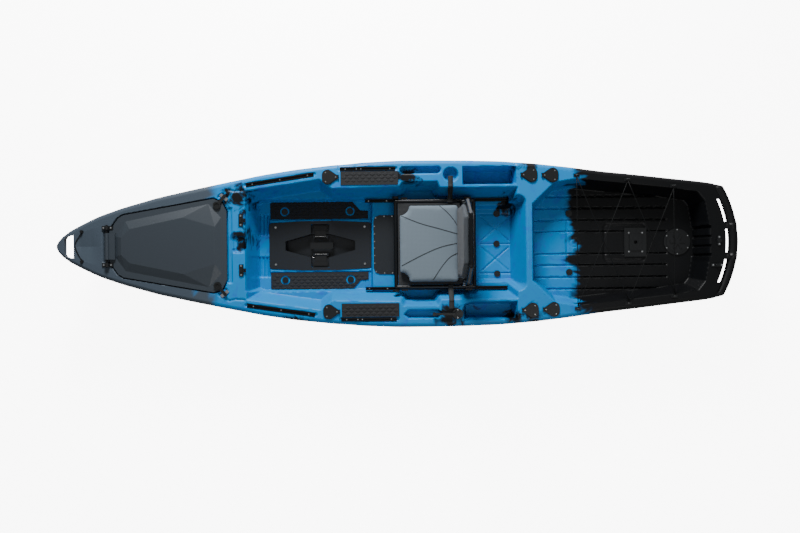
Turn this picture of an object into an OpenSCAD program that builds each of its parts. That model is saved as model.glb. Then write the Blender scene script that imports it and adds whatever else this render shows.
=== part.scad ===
// Sit-on-top pedal kayak: rotomoulded hull, closed drive well, frame seat on rails, fittings.
// +X runs to the bow, +Y to port, +Z up. The origin is on the ground under the middle of the hull.

/* [Hull] */
// Overall length of the hull
hull_len = 3660; // [3400:10:4400]
// Overall beam
beam = 900; // [860:5:1080]
// Height of the side deck above the keel
gunwale_h = 340; // [320:5:410]
// Wall of the moulded shell
wall = 5; // [4:0.5:7]
// Upward pitch of the bow deck
bow_pitch = 3.43; // [2:0.1:5]
// Where the bow deck starts to rise
bow_rise_x = 850; // [800:10:900]

/* [Cockpit] */
// Height of the footwell floor
floor_z = 150; // [130:5:170]
// Height of the benches and the console plinth
bench_z = 205; // [190:5:230]
// Height of the floor behind the seat
rear_floor_z = 165; // [150:5:185]
// Front wall of the cockpit
cockpit_front = 812; // [790:2:830]
// Aft wall of the cockpit
cockpit_aft = -645; // [-660:5:-640]
// Half width of the cockpit between the side decks
cockpit_half = 298; // [294:2:306]
// Half width of the footwell floor
footwell_half = 255; // [250:1:262]

/* [Tank well] */
// Height of the tank-well floor
tank_floor_z = 200; // [180:5:230]
// Front end of the tank well
tank_front = -723; // [-740:1:-715]
// Aft end of the tank-well floor
tank_aft = -1640; // [-1660:5:-1630]
// Depth of the side pockets below the deck
pocket_depth = 110; // [80:5:130]

/* [Drive well] */
// Centre of the drive pod
pod_x = 436; // [430:2:446]
// Length of the pod plate
pod_len = 572; // [540:2:590]
// Width of the pod plate at its middle
pod_w = 278; // [264:2:290]
// Thickness of the pod plate
pod_t = 8; // [6:1:12]
// Length of the plug opening
plug_len = 391; // [360:1:410]
// Width of the plug opening at its middle
plug_w = 132; // [120:2:140]
// Depth of the plug top below the pod plate
plug_sink = 55; // [40:5:70]
// Clearance round the plug
plug_gap = 1.5; // [1:0.5:3]

/* [Bow hatch] */
// Front edge of the hatch lid
lid_front = 1530; // [1500:5:1545]
// Aft edge of the hatch lid
lid_aft = 916; // [905:1:930]
// Half width of the lid at its widest
lid_half = 250; // [235:1:258]
// Height of the raised middle of the lid
lid_rise = 15; // [8:1:25]
// Radius of the hinge rod
hinge_rod_r = 6; // [4:0.5:7]

/* [Rod holders] */
// Inner radius of the rod-holder tube
rod_bore_r = 21; // [19:0.5:22]
// Wall of the rod-holder tube
rod_wall = 3; // [2:0.5:4]
// Length of the rod-holder tube
rod_depth = 190; // [140:5:200]
// Rake of the rod holders from upright
rod_rake = 15; // [0:1:15]

/* [Seat] */
// Half distance between the seat rails
rail_y = 243; // [238:1:246]
// Width of a seat rail
rail_w = 18; // [16:1:20]
// Height of a seat rail
rail_h = 14; // [12:1:18]
// Front end of the seat rails
rail_front = 180; // [160:5:200]
// Aft end of the seat rails
rail_aft = -630; // [-636:2:-620]
// Front cross tube of the seat frame
seat_front = 10; // [0:2:20]
// Aft cross tube of the seat frame
seat_rear = -416; // [-424:2:-408]
// Height of the seat frame tubes above the rails
seat_lift = 56; // [48:2:70]
// Radius of the seat frame tubes
tube_r = 11; // [9:0.5:13]
// Thickness of the cushion
cushion_t = 40; // [30:2:50]
// Half width of the cushion
cushion_half = 207; // [190:1:212]
// Height of the back above its pivots
back_h = 388; // [340:4:420]
// Half width between the back-frame legs
back_half = 203; // [190:1:206]

/* [Deck gear] */
// Width of a gear track
track_w = 20; // [16:1:24]
// Depth of a gear track
track_h = 10; // [8:1:14]
// Radius of the shock cord
cord_r = 3; // [2:0.5:4]
// Radius of the round deck plate
deck_plate_r = 73; // [66:1:78]
// Length of the steering lever
lever_len = 135; // [110:5:150]
// Radius of the rudder stock
stock_r = 9; // [7:0.5:11]

/* [Hidden] */
$fn = 32;

half_len = hull_len / 2;
fit = 0.3;          // gap between pieces that move past each other
pin_gap = 0.05;     // radial running clearance of a pin
tall = 400;         // taller than any recess is deep

// ---- hull lines -------------------------------------------------------------------------------
// Half-beam along the hull: station as a share of the half length, width as a share of the half beam.
plan = [
    [-1, 0.60], [-0.93, 0.69], [-0.9, 0.71], [-0.8, 0.757], [-0.7, 0.805], [-0.6, 0.848],
    [-0.5, 0.905], [-0.4, 0.951], [-0.3, 0.982], [-0.2, 0.995], [-0.1, 1], [0, 1], [0.1, 0.982],
    [0.2, 0.949], [0.3, 0.904], [0.4, 0.842], [0.5, 0.76], [0.6, 0.673], [0.7, 0.58], [0.8, 0.461],
    [0.88, 0.349], [0.93, 0.268], [0.96, 0.206], [0.985, 0.133], [1, 0.06]
];
// One side of the cross-section: width as a share of the half beam, height as a share of the depth.
bilge = [[0.34, 0], [0.72, 0.035], [0.9, 0.13], [0.975, 0.32], [1, 0.62]];

stations = [
    for (i = [0:len(plan) - 1])
        let (x = plan[i][0] * half_len, last = i == 0 ? x : plan[i - 1][0] * half_len)
            each (last < bow_rise_x && x > bow_rise_x ? [bow_rise_x, x] : [x])
];
function half_beam(x) = lookup(x / half_len, plan) * beam / 2;
// The bow loop stands out beyond the raked stem.
stem_top_x = 1744;
bow_loop_z = 366;
function deck_z(x) = gunwale_h + max(0, x - bow_rise_x) * tan(bow_pitch);
function bow_rocker(f) = 0.62 * gunwale_h * pow(max(0, f - 0.55) / 0.45, 2.2);
function stern_rocker(f) = 110 * pow(max(0, -f - 0.6) / 0.36, 2);
function keel_z(x) = bow_rocker(x / half_len) + stern_rocker(x / half_len);
function side_profile(b, k, s) = concat(
    [for (p = bilge) [p[0] * b, k + p[1] * (s - k)]],
    [[b, s - 26], [b - min(6, b / 4), s - 9], [b - min(22, b * 0.7), s]]
);
function section(x, inset) = let (
    p = side_profile(half_beam(x) - inset, keel_z(x) + inset, deck_z(x) - inset),
    n = len(p)
) concat([for (q = p) [x, q[0], q[1]]], [for (i = [n - 1:-1:0]) [x, -p[i][0], p[i][1]]]);

// A body lofted through equal rings of points.
module loft(rings) {
    n = len(rings[0]);
    m = len(rings);
    points = [for (r = rings) each r];
    walls = [
        for (j = [0:m - 2], i = [0:n - 1]) let (a = j * n + i, b = j * n + (i + 1) % n)
            each [[a, b + n, b], [a, a + n, b + n]]
    ];
    caps = [[for (i = [0:n - 1]) i], [for (i = [n - 1:-1:0]) (m - 1) * n + i]];
    polyhedron(points, concat(walls, caps));
}

function mirrored(points) = concat(points, [for (i = [len(points) - 1:-1:0]) [points[i][0], -points[i][1]]]);
module both_sides() {
    children();
    mirror([0, 1, 0]) children();
}
// The sloping bow deck: x and y as on the hull, z measured square to the deck.
module on_bow() {
    translate([bow_rise_x, 0, gunwale_h]) rotate([0, -bow_pitch, 0]) translate([-bow_rise_x, 0, 0])
        children();
}

// ---- outlines -----------------------------------------------------------------------------------
stern_r = 607;        // outer radius of the stern handle band
band_w = 42;          // width of the band
stern_slot_w = 27;    // width of the hand slots
band_h = 36;          // thickness of the band
stern_x = -half_len + stern_r;
stern_corner_y = 232; // where the hand slots end and the solid corners start

cockpit_outline = mirrored([
    [cockpit_front, cockpit_half - 6], [418, cockpit_half + 52], [354, cockpit_half],
    [-10, cockpit_half + 12], [-30, cockpit_half + 37], [-215, cockpit_half + 37],
    [-232, cockpit_half + 2], [cockpit_aft, cockpit_half + 2]
]);
footwell_outline = mirrored([[770, footwell_half - 20], [740, footwell_half], [142, footwell_half]]);
rear_floor_outline = mirrored([[-30, 212], [cockpit_aft, 212]]);
tank_outline = mirrored([
    [tank_front, 205], [-845, 318], [-957, 335], [-1457, 280], [tank_aft + 42, 238], [tank_aft, 90]
]);
hatch_outline = mirrored([
    [lid_front, 80], [lid_front - 46, 148], [lid_front - 73, 165], [lid_aft + 69, lid_half],
    [lid_aft + 24, lid_half - 18], [lid_aft, lid_half - 67]
]);
bow_handle_outline = mirrored([
    [half_len - 86, 60], [half_len - 60, 58], [half_len - 37, 40]
]);
hatch_sink = 12;
pocket_x = [-638, -352];
pocket_y = [cockpit_half + 14, beam / 2 - 36];
tray_x = [-236, -14];
cup = [-288, -(beam / 2 - 81), 40];
cup_depth = 40;
lever_pos = [-318, beam / 2 - 72];
console_x = [-20, 135];
console_half = 163;

// Plug opening of the pod, grown all round by g.
function plug_outline(g) = mirrored([
    [pod_x + plug_len / 2 + g, 26 + 0.6 * g], [pod_x + 51 + 0.15 * g, plug_w / 2 + g],
    [pod_x - 50 - 0.15 * g, plug_w / 2 + g], [pod_x - plug_len / 2 - g, 26 + 0.6 * g]
]);
bay_x = [pod_x - 50, pod_x + 52];
bay_half = 121;
bay_z = floor_z - 25;
seal_t = 2;
pod_top = floor_z + seal_t + pod_t;
plug_top = pod_top - plug_sink;

track_fore = [[811, beam / 2 - 127], [448, beam / 2 - 73]];
track_mid_x = [9, 307];
track_mid_y = beam / 2 - 46;
track_sink = 8;

front_scuppers = [[635, 192], [267, 192]];
rear_scuppers = [[-554, 0], [-556, 168], [-556, -168]];
tank_scuppers = [[-952, 163], [-952, -163]];
scupper_r = 14;
rudder_x = -half_len + 108;
deck_plate_x = -1552;
// x, y and rake of each pair of rod holders
rod_places = [
    [359, beam / 2 - 89, rod_rake], [-708, beam / 2 - 87, -rod_rake], [-821, beam / 2 - 90, -rod_rake]
];

module rounded_box_2d(x, y, r) {
    hull() for (i = x, j = y)
        translate([i + (i == x[0] ? r : -r), j + (j == y[0] ? r : -r)]) circle(r, $fn = 16);
}
module track_line(a, b, w) {
    translate([(a[0] + b[0]) / 2, (a[1] + b[1]) / 2])
        rotate(atan2(b[1] - a[1], b[0] - a[0])) square([norm(b - a), w], center = true);
}
module stern_disc(r) {
    translate([stern_x, 0]) circle(r, $fn = 96);
}
module stern_ring(r_in, r_out, y0, y1) {
    intersection() {
        difference() {
            stern_disc(r_out);
            stern_disc(r_in);
        }
        translate([-half_len, y0]) square([400, y1 - y0]);
    }
}

// ---- hull -----------------------------------------------------------------------------------------
// A recess with its floor at z, open above; its outline grows by g, and its floor drops by g.
module recess(z, g) {
    translate([0, 0, z - g]) linear_extrude(tall) offset(delta = g) children();
}
module bow_recess(g) {
    on_bow() translate([0, 0, -hatch_sink - g]) linear_extrude(60) offset(delta = g) {
        offset(delta = 6) polygon(hatch_outline);
        translate([lid_front - 20, -86]) square([44, 172]);
    }
}
module recesses(g) {
    recess(bench_z, g) polygon(cockpit_outline);
    recess(floor_z, g) polygon(footwell_outline);
    recess(rear_floor_z, g) polygon(rear_floor_outline);
    recess(floor_z + 5, g) rounded_box_2d([0, 110], [-130, 130], 12);
    recess(tank_floor_z, g) polygon(tank_outline);
    both_sides() recess(gunwale_h - pocket_depth, g) rounded_box_2d(pocket_x, pocket_y, 14);
    recess(gunwale_h - 32, g) rounded_box_2d(tray_x, [-(beam / 2 - 32), -(beam / 2 - 76)], 10);
    recess(gunwale_h - 40, g) rounded_box_2d(tray_x, [beam / 2 - 93, beam / 2 - 48], 20);
    recess(gunwale_h - cup_depth, g) translate([cup[0], cup[1]]) circle(cup[2]);
    both_sides() recess(gunwale_h - track_sink, g) track_line(track_fore[0], track_fore[1], track_w + 2);
    both_sides() recess(gunwale_h - track_sink, g)
        track_line([track_mid_x[0], track_mid_y], [track_mid_x[1], track_mid_y], track_w + 2);
    recess(bay_z - 6, g) rounded_box_2d([bay_x[0] - 6, bay_x[1] + 6], [-bay_half - 6, bay_half + 6], 3);
    bow_recess(g);
}
module bores(g) {
    module bore(p, r) {
        translate([p[0], p[1], -10]) rotate(7) cylinder(r = r + g, h = tall + 10, $fn = 13);
    }
    both_sides() for (p = front_scuppers) bore(p, scupper_r);
    for (p = concat(rear_scuppers, tank_scuppers)) bore(p, scupper_r);
    bore([rudder_x, 0], stock_r + 5);
    translate([0, 0, -10]) linear_extrude(tall) offset(delta = g) polygon(plug_outline(6));
    translate([0, 0, -10]) linear_extrude(2 * tall) offset(delta = g) polygon(bow_handle_outline);
    under = g > 0 ? 2 * tall : bow_loop_z;
    rotate([90, 0, 0]) translate([0, 0, -beam / 2]) linear_extrude(beam) offset(delta = g)
        polygon([[stem_top_x, under], [half_len + 50, under], [half_len + 50, -20], [stem_top_x - 56, -20]]);
}
module stern_plan(inset) {
    offset(delta = -inset) {
        stern_disc(stern_r - band_w - stern_slot_w);
        both_sides() translate([-half_len + 92, stern_corner_y]) square([300, beam]);
        translate([-half_len + 350, -beam]) square([hull_len, 2 * beam]);
    }
}
module hull_loft(inset, bow_end) {
    intersection() {
        loft([for (x = stations) if (x < bow_end * half_len) section(max(x, -0.975 * half_len), inset)]);
        linear_extrude(2 * tall) stern_plan(inset);
    }
}
module stern_handle() {
    deck_edge = [for (x = [-half_len, -half_len + 90, -half_len + 180]) [x, half_beam(x) - 3]];
    translate([0, 0, gunwale_h - band_h]) linear_extrude(band_h) difference() {
        intersection() {
            stern_disc(stern_r);
            polygon(mirrored(deck_edge));
        }
        stern_disc(stern_r - 141);
        for (y = [[-63, 63], [-225, -101], [101, 225]])
            stern_ring(stern_r - band_w - stern_slot_w - 3, stern_r - band_w, y[0], y[1]);
    }
}
// Holes through the skin only: rod holders, hatch opening and deck plate.
module skin_holes() {
    for (h = rod_places) both_sides()
        translate([h[0], h[1], gunwale_h]) rotate([0, h[2], 0])
            translate([0, 0, -45]) cylinder(r = rod_bore_r + rod_wall + 1.5, h = 90, $fn = 24);
    on_bow() translate([0, 0, -60]) linear_extrude(100) offset(delta = -22) polygon(hatch_outline);
    translate([deck_plate_x, 0, tank_floor_z - 30]) cylinder(r = deck_plate_r - 22, h = 60);
}
module hull_shell() {
    color("deepskyblue") difference() {
        union() {
            hull_loft(0, 2);
            stern_handle();
        }
        recesses(0);
        bores(0);
        difference() {
            hull_loft(wall, 0.98);
            recesses(wall);
            bores(wall);
        }
        skin_holes();
    }
}

// ---- fasteners ---------------------------------------------------------------------------------------
// Pan-head screw standing on z = 0, with its shank down through what it holds.
module screw(r, t) {
    difference() {
        union() {
            cylinder(r = r, h = 0.6 * r);
            translate([0, 0, -t]) cylinder(r = r / 2, h = t + 1);
        }
        translate([0, 0, 0.3 * r]) cylinder(r = 0.45 * r, h = r, $fn = 6);
    }
}
module screw_hole(r, t) {
    translate([0, 0, -t - 1]) cylinder(r = r / 2 + 0.1, h = t + 2);
}

// ---- bow hatch ----------------------------------------------------------------------------------------
rod_x = lid_front + 9;
rod_z = 14;
knuckle_r = hinge_rod_r + 5;
eye_y = [88, 108];
eye_screws = [[rod_x - 19, 98], [rod_x + 19, 98]];
lid_edge_z = -6;
lid_edge_t = 8;
plateau_base = mirrored([
    [lid_front - 30, 55], [lid_front - 85, 132], [lid_aft + 94, lid_half - 28], [lid_aft + 29, 150]
]);
plateau_top = mirrored([[lid_front - 65, 45], [lid_front - 110, 90], [lid_aft + 227, 150], [lid_aft + 60, 100]]);
module plateau(drop) {
    hull() {
        translate([0, 0, 1 - drop]) linear_extrude(1) offset(delta = -drop) polygon(plateau_base);
        translate([0, 0, lid_rise - drop + 1]) linear_extrude(1) offset(delta = -drop) polygon(plateau_top);
    }
}
module bow_hatch_lid() {
    color("#414b55") on_bow() difference() {
        union() {
            difference() {
                union() {
                    translate([0, 0, lid_edge_z]) linear_extrude(lid_edge_t) polygon(hatch_outline);
                    plateau(0);
                }
                plateau(4);
                translate([0, 0, lid_edge_z - 1]) linear_extrude(7 + 1 - 4 + 1) offset(delta = -28)
                    polygon(hatch_outline);
            }
            translate([rod_x - 42, -70, lid_edge_z]) cube([36, 140, rod_z - lid_edge_z]);
            translate([rod_x, -70, rod_z]) rotate([-90, 0, 0]) cylinder(r = knuckle_r, h = 140);
        }
        translate([rod_x, -80, rod_z]) rotate([-90, 0, 0]) cylinder(r = hinge_rod_r + pin_gap, h = 160);
        for (s = [-1, 1]) translate([latch_x, s * latch_y, lid_edge_z - 1]) cylinder(r = 5.05, h = 20);
        both_sides() translate([rod_x - 30, eye_y[0] - 2, lid_edge_z - 1])
            cube([60, eye_y[1] - eye_y[0] + 4, 20]);
    }
}
module bow_hatch_seal() {
    color("#15171a") on_bow() translate([0, 0, -hatch_sink]) linear_extrude(lid_edge_z + hatch_sink)
        difference() {
            offset(delta = -2) polygon(hatch_outline);
            offset(delta = -14) polygon(hatch_outline);
        }
}
module bow_hinge_rod() {
    color("#202428") on_bow() translate([rod_x, -eye_y[1] - 4, rod_z]) rotate([-90, 0, 0])
        cylinder(r = hinge_rod_r, h = 2 * eye_y[1] + 8);
}
module bow_hinge_eyes() {
    color("#1b1e22") on_bow() both_sides() difference() {
        union() {
            translate([rod_x - 28, eye_y[0], 0]) cube([56, eye_y[1] - eye_y[0], 5]);
            translate([rod_x - 11, eye_y[0], 0]) cube([22, eye_y[1] - eye_y[0], rod_z]);
            translate([rod_x, eye_y[0], rod_z]) rotate([-90, 0, 0])
                cylinder(r = hinge_rod_r + 5, h = eye_y[1] - eye_y[0]);
        }
        translate([rod_x, 0, rod_z]) rotate([-90, 0, 0]) cylinder(r = hinge_rod_r, h = 200);
        for (p = eye_screws) translate([p[0], p[1], 5]) screw_hole(4.5, 5);
    }
}
latch_x = lid_aft + 49;
latch_y = lid_half - 35;
latch_z = lid_edge_z + lid_edge_t + 3;
keeper_pos = [lid_aft + 13, lid_half + 8];
keeper_t = 2.5;
module hatch_latch() {
    translate([latch_x, latch_y, 0]) {
        difference() {
            union() {
                translate([0, 0, lid_edge_z + lid_edge_t + fit]) cylinder(r = 20, h = 10);
                translate([0, 0, lid_edge_z - 4]) cylinder(r = 5, h = 14);
                rotate(130) translate([0, -8, latch_z]) cube([66, 16, 6]);
                rotate(130) translate([66, 0, latch_z]) cylinder(r = 8, h = 6);
            }
            translate([0, 0, 8]) cylinder(r = 12, h = 20, $fn = 6);
        }
        translate([0, 0, lid_edge_z - 6]) cylinder(r = 9, h = 5.7);
    }
}
module hatch_latch_port() {
    color("#17191c") on_bow() hatch_latch();
}
module hatch_latch_starboard() {
    color("#17191c") on_bow() mirror([0, 1, 0]) hatch_latch();
}
module keeper_screw_places() {
    translate([keeper_pos[0], keeper_pos[1], keeper_t]) rotate(130)
        for (s = [-16, 16]) translate([0, s, 0]) children();
}
module hatch_keepers() {
    color("#1b1e22") on_bow() both_sides() difference() {
        translate([keeper_pos[0], keeper_pos[1], 0]) rotate(130) union() {
            translate([-9, -24, 0]) cube([18, 48, keeper_t]);
            translate([-8, -7, 0]) cube([16, 14, latch_z - fit]);
        }
        keeper_screw_places() screw_hole(4, keeper_t);
    }
}

// ---- bow cord --------------------------------------------------------------------------------------------
bow_eye = [half_len - 158, 79];
bow_cord_r = 2;
// Route of the slack bow cord on the deck: x, y; its height is the deck's.
bow_cord_route = [
    [1672, -70], [1675, -66], [1680, -58], [1686, -48], [1692, -38], [1698, -28], [1702, -20], [1705, -11],
    [1706, -2], [1705, 8], [1702, 18], [1698, 28], [1692, 40], [1686, 50], [1680, 59], [1675, 66], [1672, 70]
];
module bow_cord_eyes() {
    color("#1b1e22") on_bow() both_sides() translate([bow_eye[0], bow_eye[1], 0]) {
        cylinder(r = 9, h = 3);
        cylinder(r = 4, h = 9);
        translate([0, 0, 9]) cylinder(r = 7, h = 3);
    }
}
module bow_cord() {
    lift = [for (p = bow_cord_route) gunwale_h + (p[0] - bow_rise_x) * tan(bow_pitch) + bow_cord_r + 0.5];
    pts = [for (i = [0:len(bow_cord_route) - 1]) [bow_cord_route[i][0], bow_cord_route[i][1], lift[i]]];
    n = len(pts);
    function along(i) = let (d = pts[min(i + 1, n - 1)] - pts[max(i - 1, 0)]) d / norm(d);
    function side(i) = let (c = cross(along(i), [0, 0, 1])) c / norm(c);
    color("#101214") loft([
        for (i = [0:n - 1]) let (s = side(i), u = cross(s, along(i)))
            [for (k = [0:7]) pts[i] + bow_cord_r * (cos(45 * k) * s + sin(45 * k) * u)]
    ]);
}

// ---- deck gear ---------------------------------------------------------------------------------------------
cleat_pos = [840, 134];
module deck_cleats() {
    color("#1b1e22") both_sides() translate([cleat_pos[0], cleat_pos[1], gunwale_h]) difference() {
        union() {
            translate([-12, -32, 0]) cube([24, 64, 4]);
            translate([-26, -10, 0]) cube([16, 20, 9]);
            translate([-6, -10, 4]) cube([12, 20, 8]);
        }
        for (s = [-24, 24]) translate([0, s, 4]) screw_hole(5, 4);
        translate([-18, 0, -1]) cylinder(r = 4, h = 12);
    }
}
module gear_track(l) {
    slot_w = 0.4 * track_w;
    translate([-l / 2, 0, 0]) rotate([90, 0, 90]) linear_extrude(l) difference() {
        translate([-track_w / 2, 0]) square([track_w, track_h]);
        translate([-slot_w / 2, 3]) square([slot_w, track_h]);
        translate([-0.35 * track_w, 3]) square([0.7 * track_w, track_h - 5.5]);
    }
}
module at_fore_track() {
    a = track_fore[0];
    b = track_fore[1];
    translate([(a[0] + b[0]) / 2, (a[1] + b[1]) / 2, gunwale_h - track_sink])
        rotate(atan2(b[1] - a[1], b[0] - a[0])) children();
}
module at_mid_track() {
    translate([(track_mid_x[0] + track_mid_x[1]) / 2, track_mid_y, gunwale_h - track_sink]) children();
}
fore_bolts = [-150, 0, 150];
mid_bolts = [-120, 36, 60, 120];
module bolted_track(l, bolts) {
    difference() {
        gear_track(l);
        for (x = bolts) translate([x, 0, 3]) screw_hole(3.4, 3);
    }
}
module gear_tracks_fore() {
    color("#1d2023") both_sides() at_fore_track() bolted_track(norm(track_fore[0] - track_fore[1]), fore_bolts);
}
module gear_tracks_mid() {
    color("#1d2023") both_sides() at_mid_track() bolted_track(track_mid_x[1] - track_mid_x[0], mid_bolts);
}
module track_bolts() {
    color("silver") both_sides() {
        at_fore_track() for (x = fore_bolts) translate([x, 0, 3]) screw(3.4, 3);
        at_mid_track() for (x = mid_bolts) translate([x, 0, 3]) screw(3.4, 3);
    }
}
side_pad_x = [-5, 303];
side_pad_y = [beam / 2 - 132, beam / 2 - 60];
pad_t = 4;
module side_pads() {
    color("#34373b") both_sides() translate([side_pad_x[0], side_pad_y[0], gunwale_h])
        cube([side_pad_x[1] - side_pad_x[0], side_pad_y[1] - side_pad_y[0], pad_t]);
}
module foot_pads() {
    inner = pod_w / 2 + 11;
    color("#34373b") both_sides() translate([0, 0, floor_z]) difference() {
        linear_extrude(pad_t) polygon([
            [716, inner], [716, footwell_half - 16], [700, footwell_half - 6], [257, footwell_half - 6],
            [210, 196], [166, 192], [166, inner]
        ]);
        for (p = front_scuppers) translate([p[0], p[1], -1]) cylinder(r = scupper_r + 12, h = 10);
    }
}
module scupper_plug() {
    translate([0, 0, 0.3]) cylinder(r = scupper_r + 4, h = 5);
    translate([0, 0, -24]) cylinder(r1 = scupper_r - 4, r2 = scupper_r - 1, h = 25);
}
module scupper_plugs() {
    color("#22262a") {
        both_sides() for (p = front_scuppers) translate([p[0], p[1], floor_z]) scupper_plug();
        for (p = rear_scuppers) translate([p[0], p[1], rear_floor_z]) scupper_plug();
        for (p = tank_scuppers) translate([p[0], p[1], tank_floor_z]) scupper_plug();
    }
}

// ---- rod holders ----------------------------------------------------------------------------------------------
flange_t = 4;
cap_t = 4;
rod_mouth = 2;
hinge_x = 43;
hinge_z = flange_t + 3.7;
flange_screws = [[-30, 0], [24, 24], [24, -24]];
module at_rod(i) {
    translate([rod_places[i][0], rod_places[i][1], gunwale_h]) children();
}
// The wide end of the flange points to +x.
module flange_2d(r) {
    hull() {
        translate([14, 10]) circle(r + 6, $fn = 24);
        translate([14, -10]) circle(r + 6, $fn = 24);
        translate([-30, 0]) circle(r - 11, $fn = 16);
    }
}
module rod_holder(i) {
    rake = rod_places[i][2];
    turn = rake < 0 ? 180 : 0;
    difference() {
        union() {
            rotate(turn) linear_extrude(flange_t) flange_2d(24);
            difference() {
                rotate([0, rake, 0]) translate([0, 0, -rod_depth]) cylinder(r = rod_bore_r + rod_wall, h = rod_depth + 15);
                translate([-60, -60, flange_t]) cube([120, 120, 40]);
            }
            rotate(turn) for (s = [-1, 1]) translate([-hinge_x - 4, s * 9 - 2, 0])
                cube([8, 4, flange_t + 6]);
            rotate(turn) translate([-hinge_x, -11, hinge_z]) rotate([-90, 0, 0]) cylinder(r = 2, h = 22);
        }
        rotate([0, rake, 0]) {
            translate([0, 0, -rod_depth - 1]) cylinder(r = rod_bore_r, h = rod_depth + 41);
            translate([0, 0, -rod_mouth]) cylinder(r = rod_bore_r + 1.6, h = 42);
        }
        rotate(turn) for (p = flange_screws) translate([p[0], p[1], flange_t]) screw_hole(3.8, flange_t);
    }
}
module rod_holders_fore() {
    color("#1b1e22") both_sides() at_rod(0) rod_holder(0);
}
module rod_holders_mid() {
    color("#1b1e22") both_sides() at_rod(1) rod_holder(1);
}
module rod_holders_aft() {
    color("#1b1e22") both_sides() at_rod(2) rod_holder(2);
}
module rod_cap(i) {
    turn = rod_places[i][2] < 0 ? 180 : 0;
    rotate(turn) difference() {
        union() {
            translate([0, 0, flange_t + fit]) linear_extrude(cap_t) intersection() {
                flange_2d(21);
                translate([-36, -60]) square(200);
            }
            translate([-hinge_x, -6, flange_t + fit]) cube([24, 12, cap_t]);
            translate([5 - hinge_x, -9, flange_t + fit]) cube([19, 18, cap_t]);
            translate([-hinge_x, -6, hinge_z]) rotate([-90, 0, 0]) cylinder(r = 3.4, h = 12);
        }
        for (p = flange_screws) translate([p[0], p[1], -1]) cylinder(r = 5, h = 20);
        translate([-hinge_x, -20, hinge_z]) rotate([-90, 0, 0]) cylinder(r = 2 + pin_gap, h = 40);
    }
}
module rod_cap_fore_port() {
    color("#24282c") at_rod(0) rod_cap(0);
}
module rod_cap_fore_starboard() {
    color("#24282c") mirror([0, 1, 0]) at_rod(0) rod_cap(0);
}
module rod_cap_mid_port() {
    color("#24282c") at_rod(1) rod_cap(1);
}
module rod_cap_mid_starboard() {
    color("#24282c") mirror([0, 1, 0]) at_rod(1) rod_cap(1);
}
module rod_cap_aft_port() {
    color("#24282c") at_rod(2) rod_cap(2);
}
module rod_cap_aft_starboard() {
    color("#24282c") mirror([0, 1, 0]) at_rod(2) rod_cap(2);
}
module rod_holder_screws() {
    color("silver") both_sides() for (i = [0:2]) at_rod(i) rotate(rod_places[i][2] < 0 ? 180 : 0)
        for (p = flange_screws) translate([p[0], p[1], flange_t]) screw(3.8, flange_t);
}

// ---- drive well --------------------------------------------------------------------------------------------------
pod_ends = [pod_x - pod_len / 2, pod_x + pod_len / 2];
pod_outline = mirrored([
    [pod_ends[1], pod_w / 2 - 20], [pod_ends[1] - 10, pod_w / 2 - 11], [pod_x + 100, pod_w / 2 - 1],
    [pod_x - 100, pod_w / 2 - 1], [pod_ends[0] + 10, pod_w / 2 - 11], [pod_ends[0], pod_w / 2 - 20]
]);
pod_bolts = [[pod_x + 250, 104], [pod_x - 250, 104]];
module bay_box(g, z0, z1) {
    translate([bay_x[0] - g, -bay_half - g, z0]) cube([bay_x[1] - bay_x[0] + 2 * g, 2 * (bay_half + g), z1 - z0]);
}
module drive_pod() {
    color("#2b2f34") difference() {
        union() {
            translate([0, 0, floor_z + seal_t]) linear_extrude(pod_t) polygon(pod_outline);
            translate([0, 0, 20]) linear_extrude(floor_z + seal_t + 1 - 20) polygon(plug_outline(4));
            bay_box(3, bay_z - 3, floor_z + seal_t + 1);
        }
        translate([0, 0, 10]) linear_extrude(tall) polygon(plug_outline(0));
        bay_box(0, bay_z, tall);
        both_sides() for (p = pod_bolts) translate([p[0], p[1], pod_top]) screw_hole(6, pod_t);
    }
}
module drive_pod_seal() {
    color("#0f1113") translate([0, 0, floor_z]) linear_extrude(seal_t) difference() {
        offset(delta = -3) polygon(pod_outline);
        offset(delta = 10) polygon(plug_outline(0));
        translate([bay_x[0] - 10, -bay_half - 4]) square([bay_x[1] - bay_x[0] + 20, 2 * bay_half + 8]);
        both_sides() for (p = pod_bolts) translate([p[0], p[1]]) circle(6);
    }
}
module drive_pod_bolts() {
    color("silver") both_sides() for (p = pod_bolts) translate([p[0], p[1], pod_top]) screw(6, pod_t);
}
latch_pin_y = 50;
latch_pin_z = bay_z + 7;
latch_w = 64;
module pod_plug() {
    color("#26292e") {
        difference() {
            translate([0, 0, 22]) linear_extrude(plug_top - 22) polygon(plug_outline(-plug_gap));
            translate([0, 0, 21]) linear_extrude(plug_top - 21 - wall) polygon(plug_outline(-plug_gap - wall));
        }
        both_sides() {
            for (x = [pod_x - latch_w / 2 - 10, pod_x + latch_w / 2 + 2])
                translate([x, latch_pin_y - 8, plug_top - 1]) cube([8, 16, latch_pin_z + 6 - plug_top]);
            translate([pod_x - latch_w / 2 - 6, latch_pin_y, latch_pin_z]) rotate([0, 90, 0])
                cylinder(r = 3, h = latch_w + 12);
        }
    }
}
handle_x = [pod_x - 72, pod_x + 58];
handle_half = 18;
handle_top = pod_top - 8;
module pod_plug_handle() {
    color("#1c1f23") {
        for (x = [handle_x[0], handle_x[1] - 14])
            translate([x, -handle_half, plug_top]) cube([14, 2 * handle_half, handle_top - plug_top]);
        translate([handle_x[0], -handle_half, handle_top - 12])
            cube([handle_x[1] - handle_x[0], 2 * handle_half, 12]);
    }
}
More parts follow.
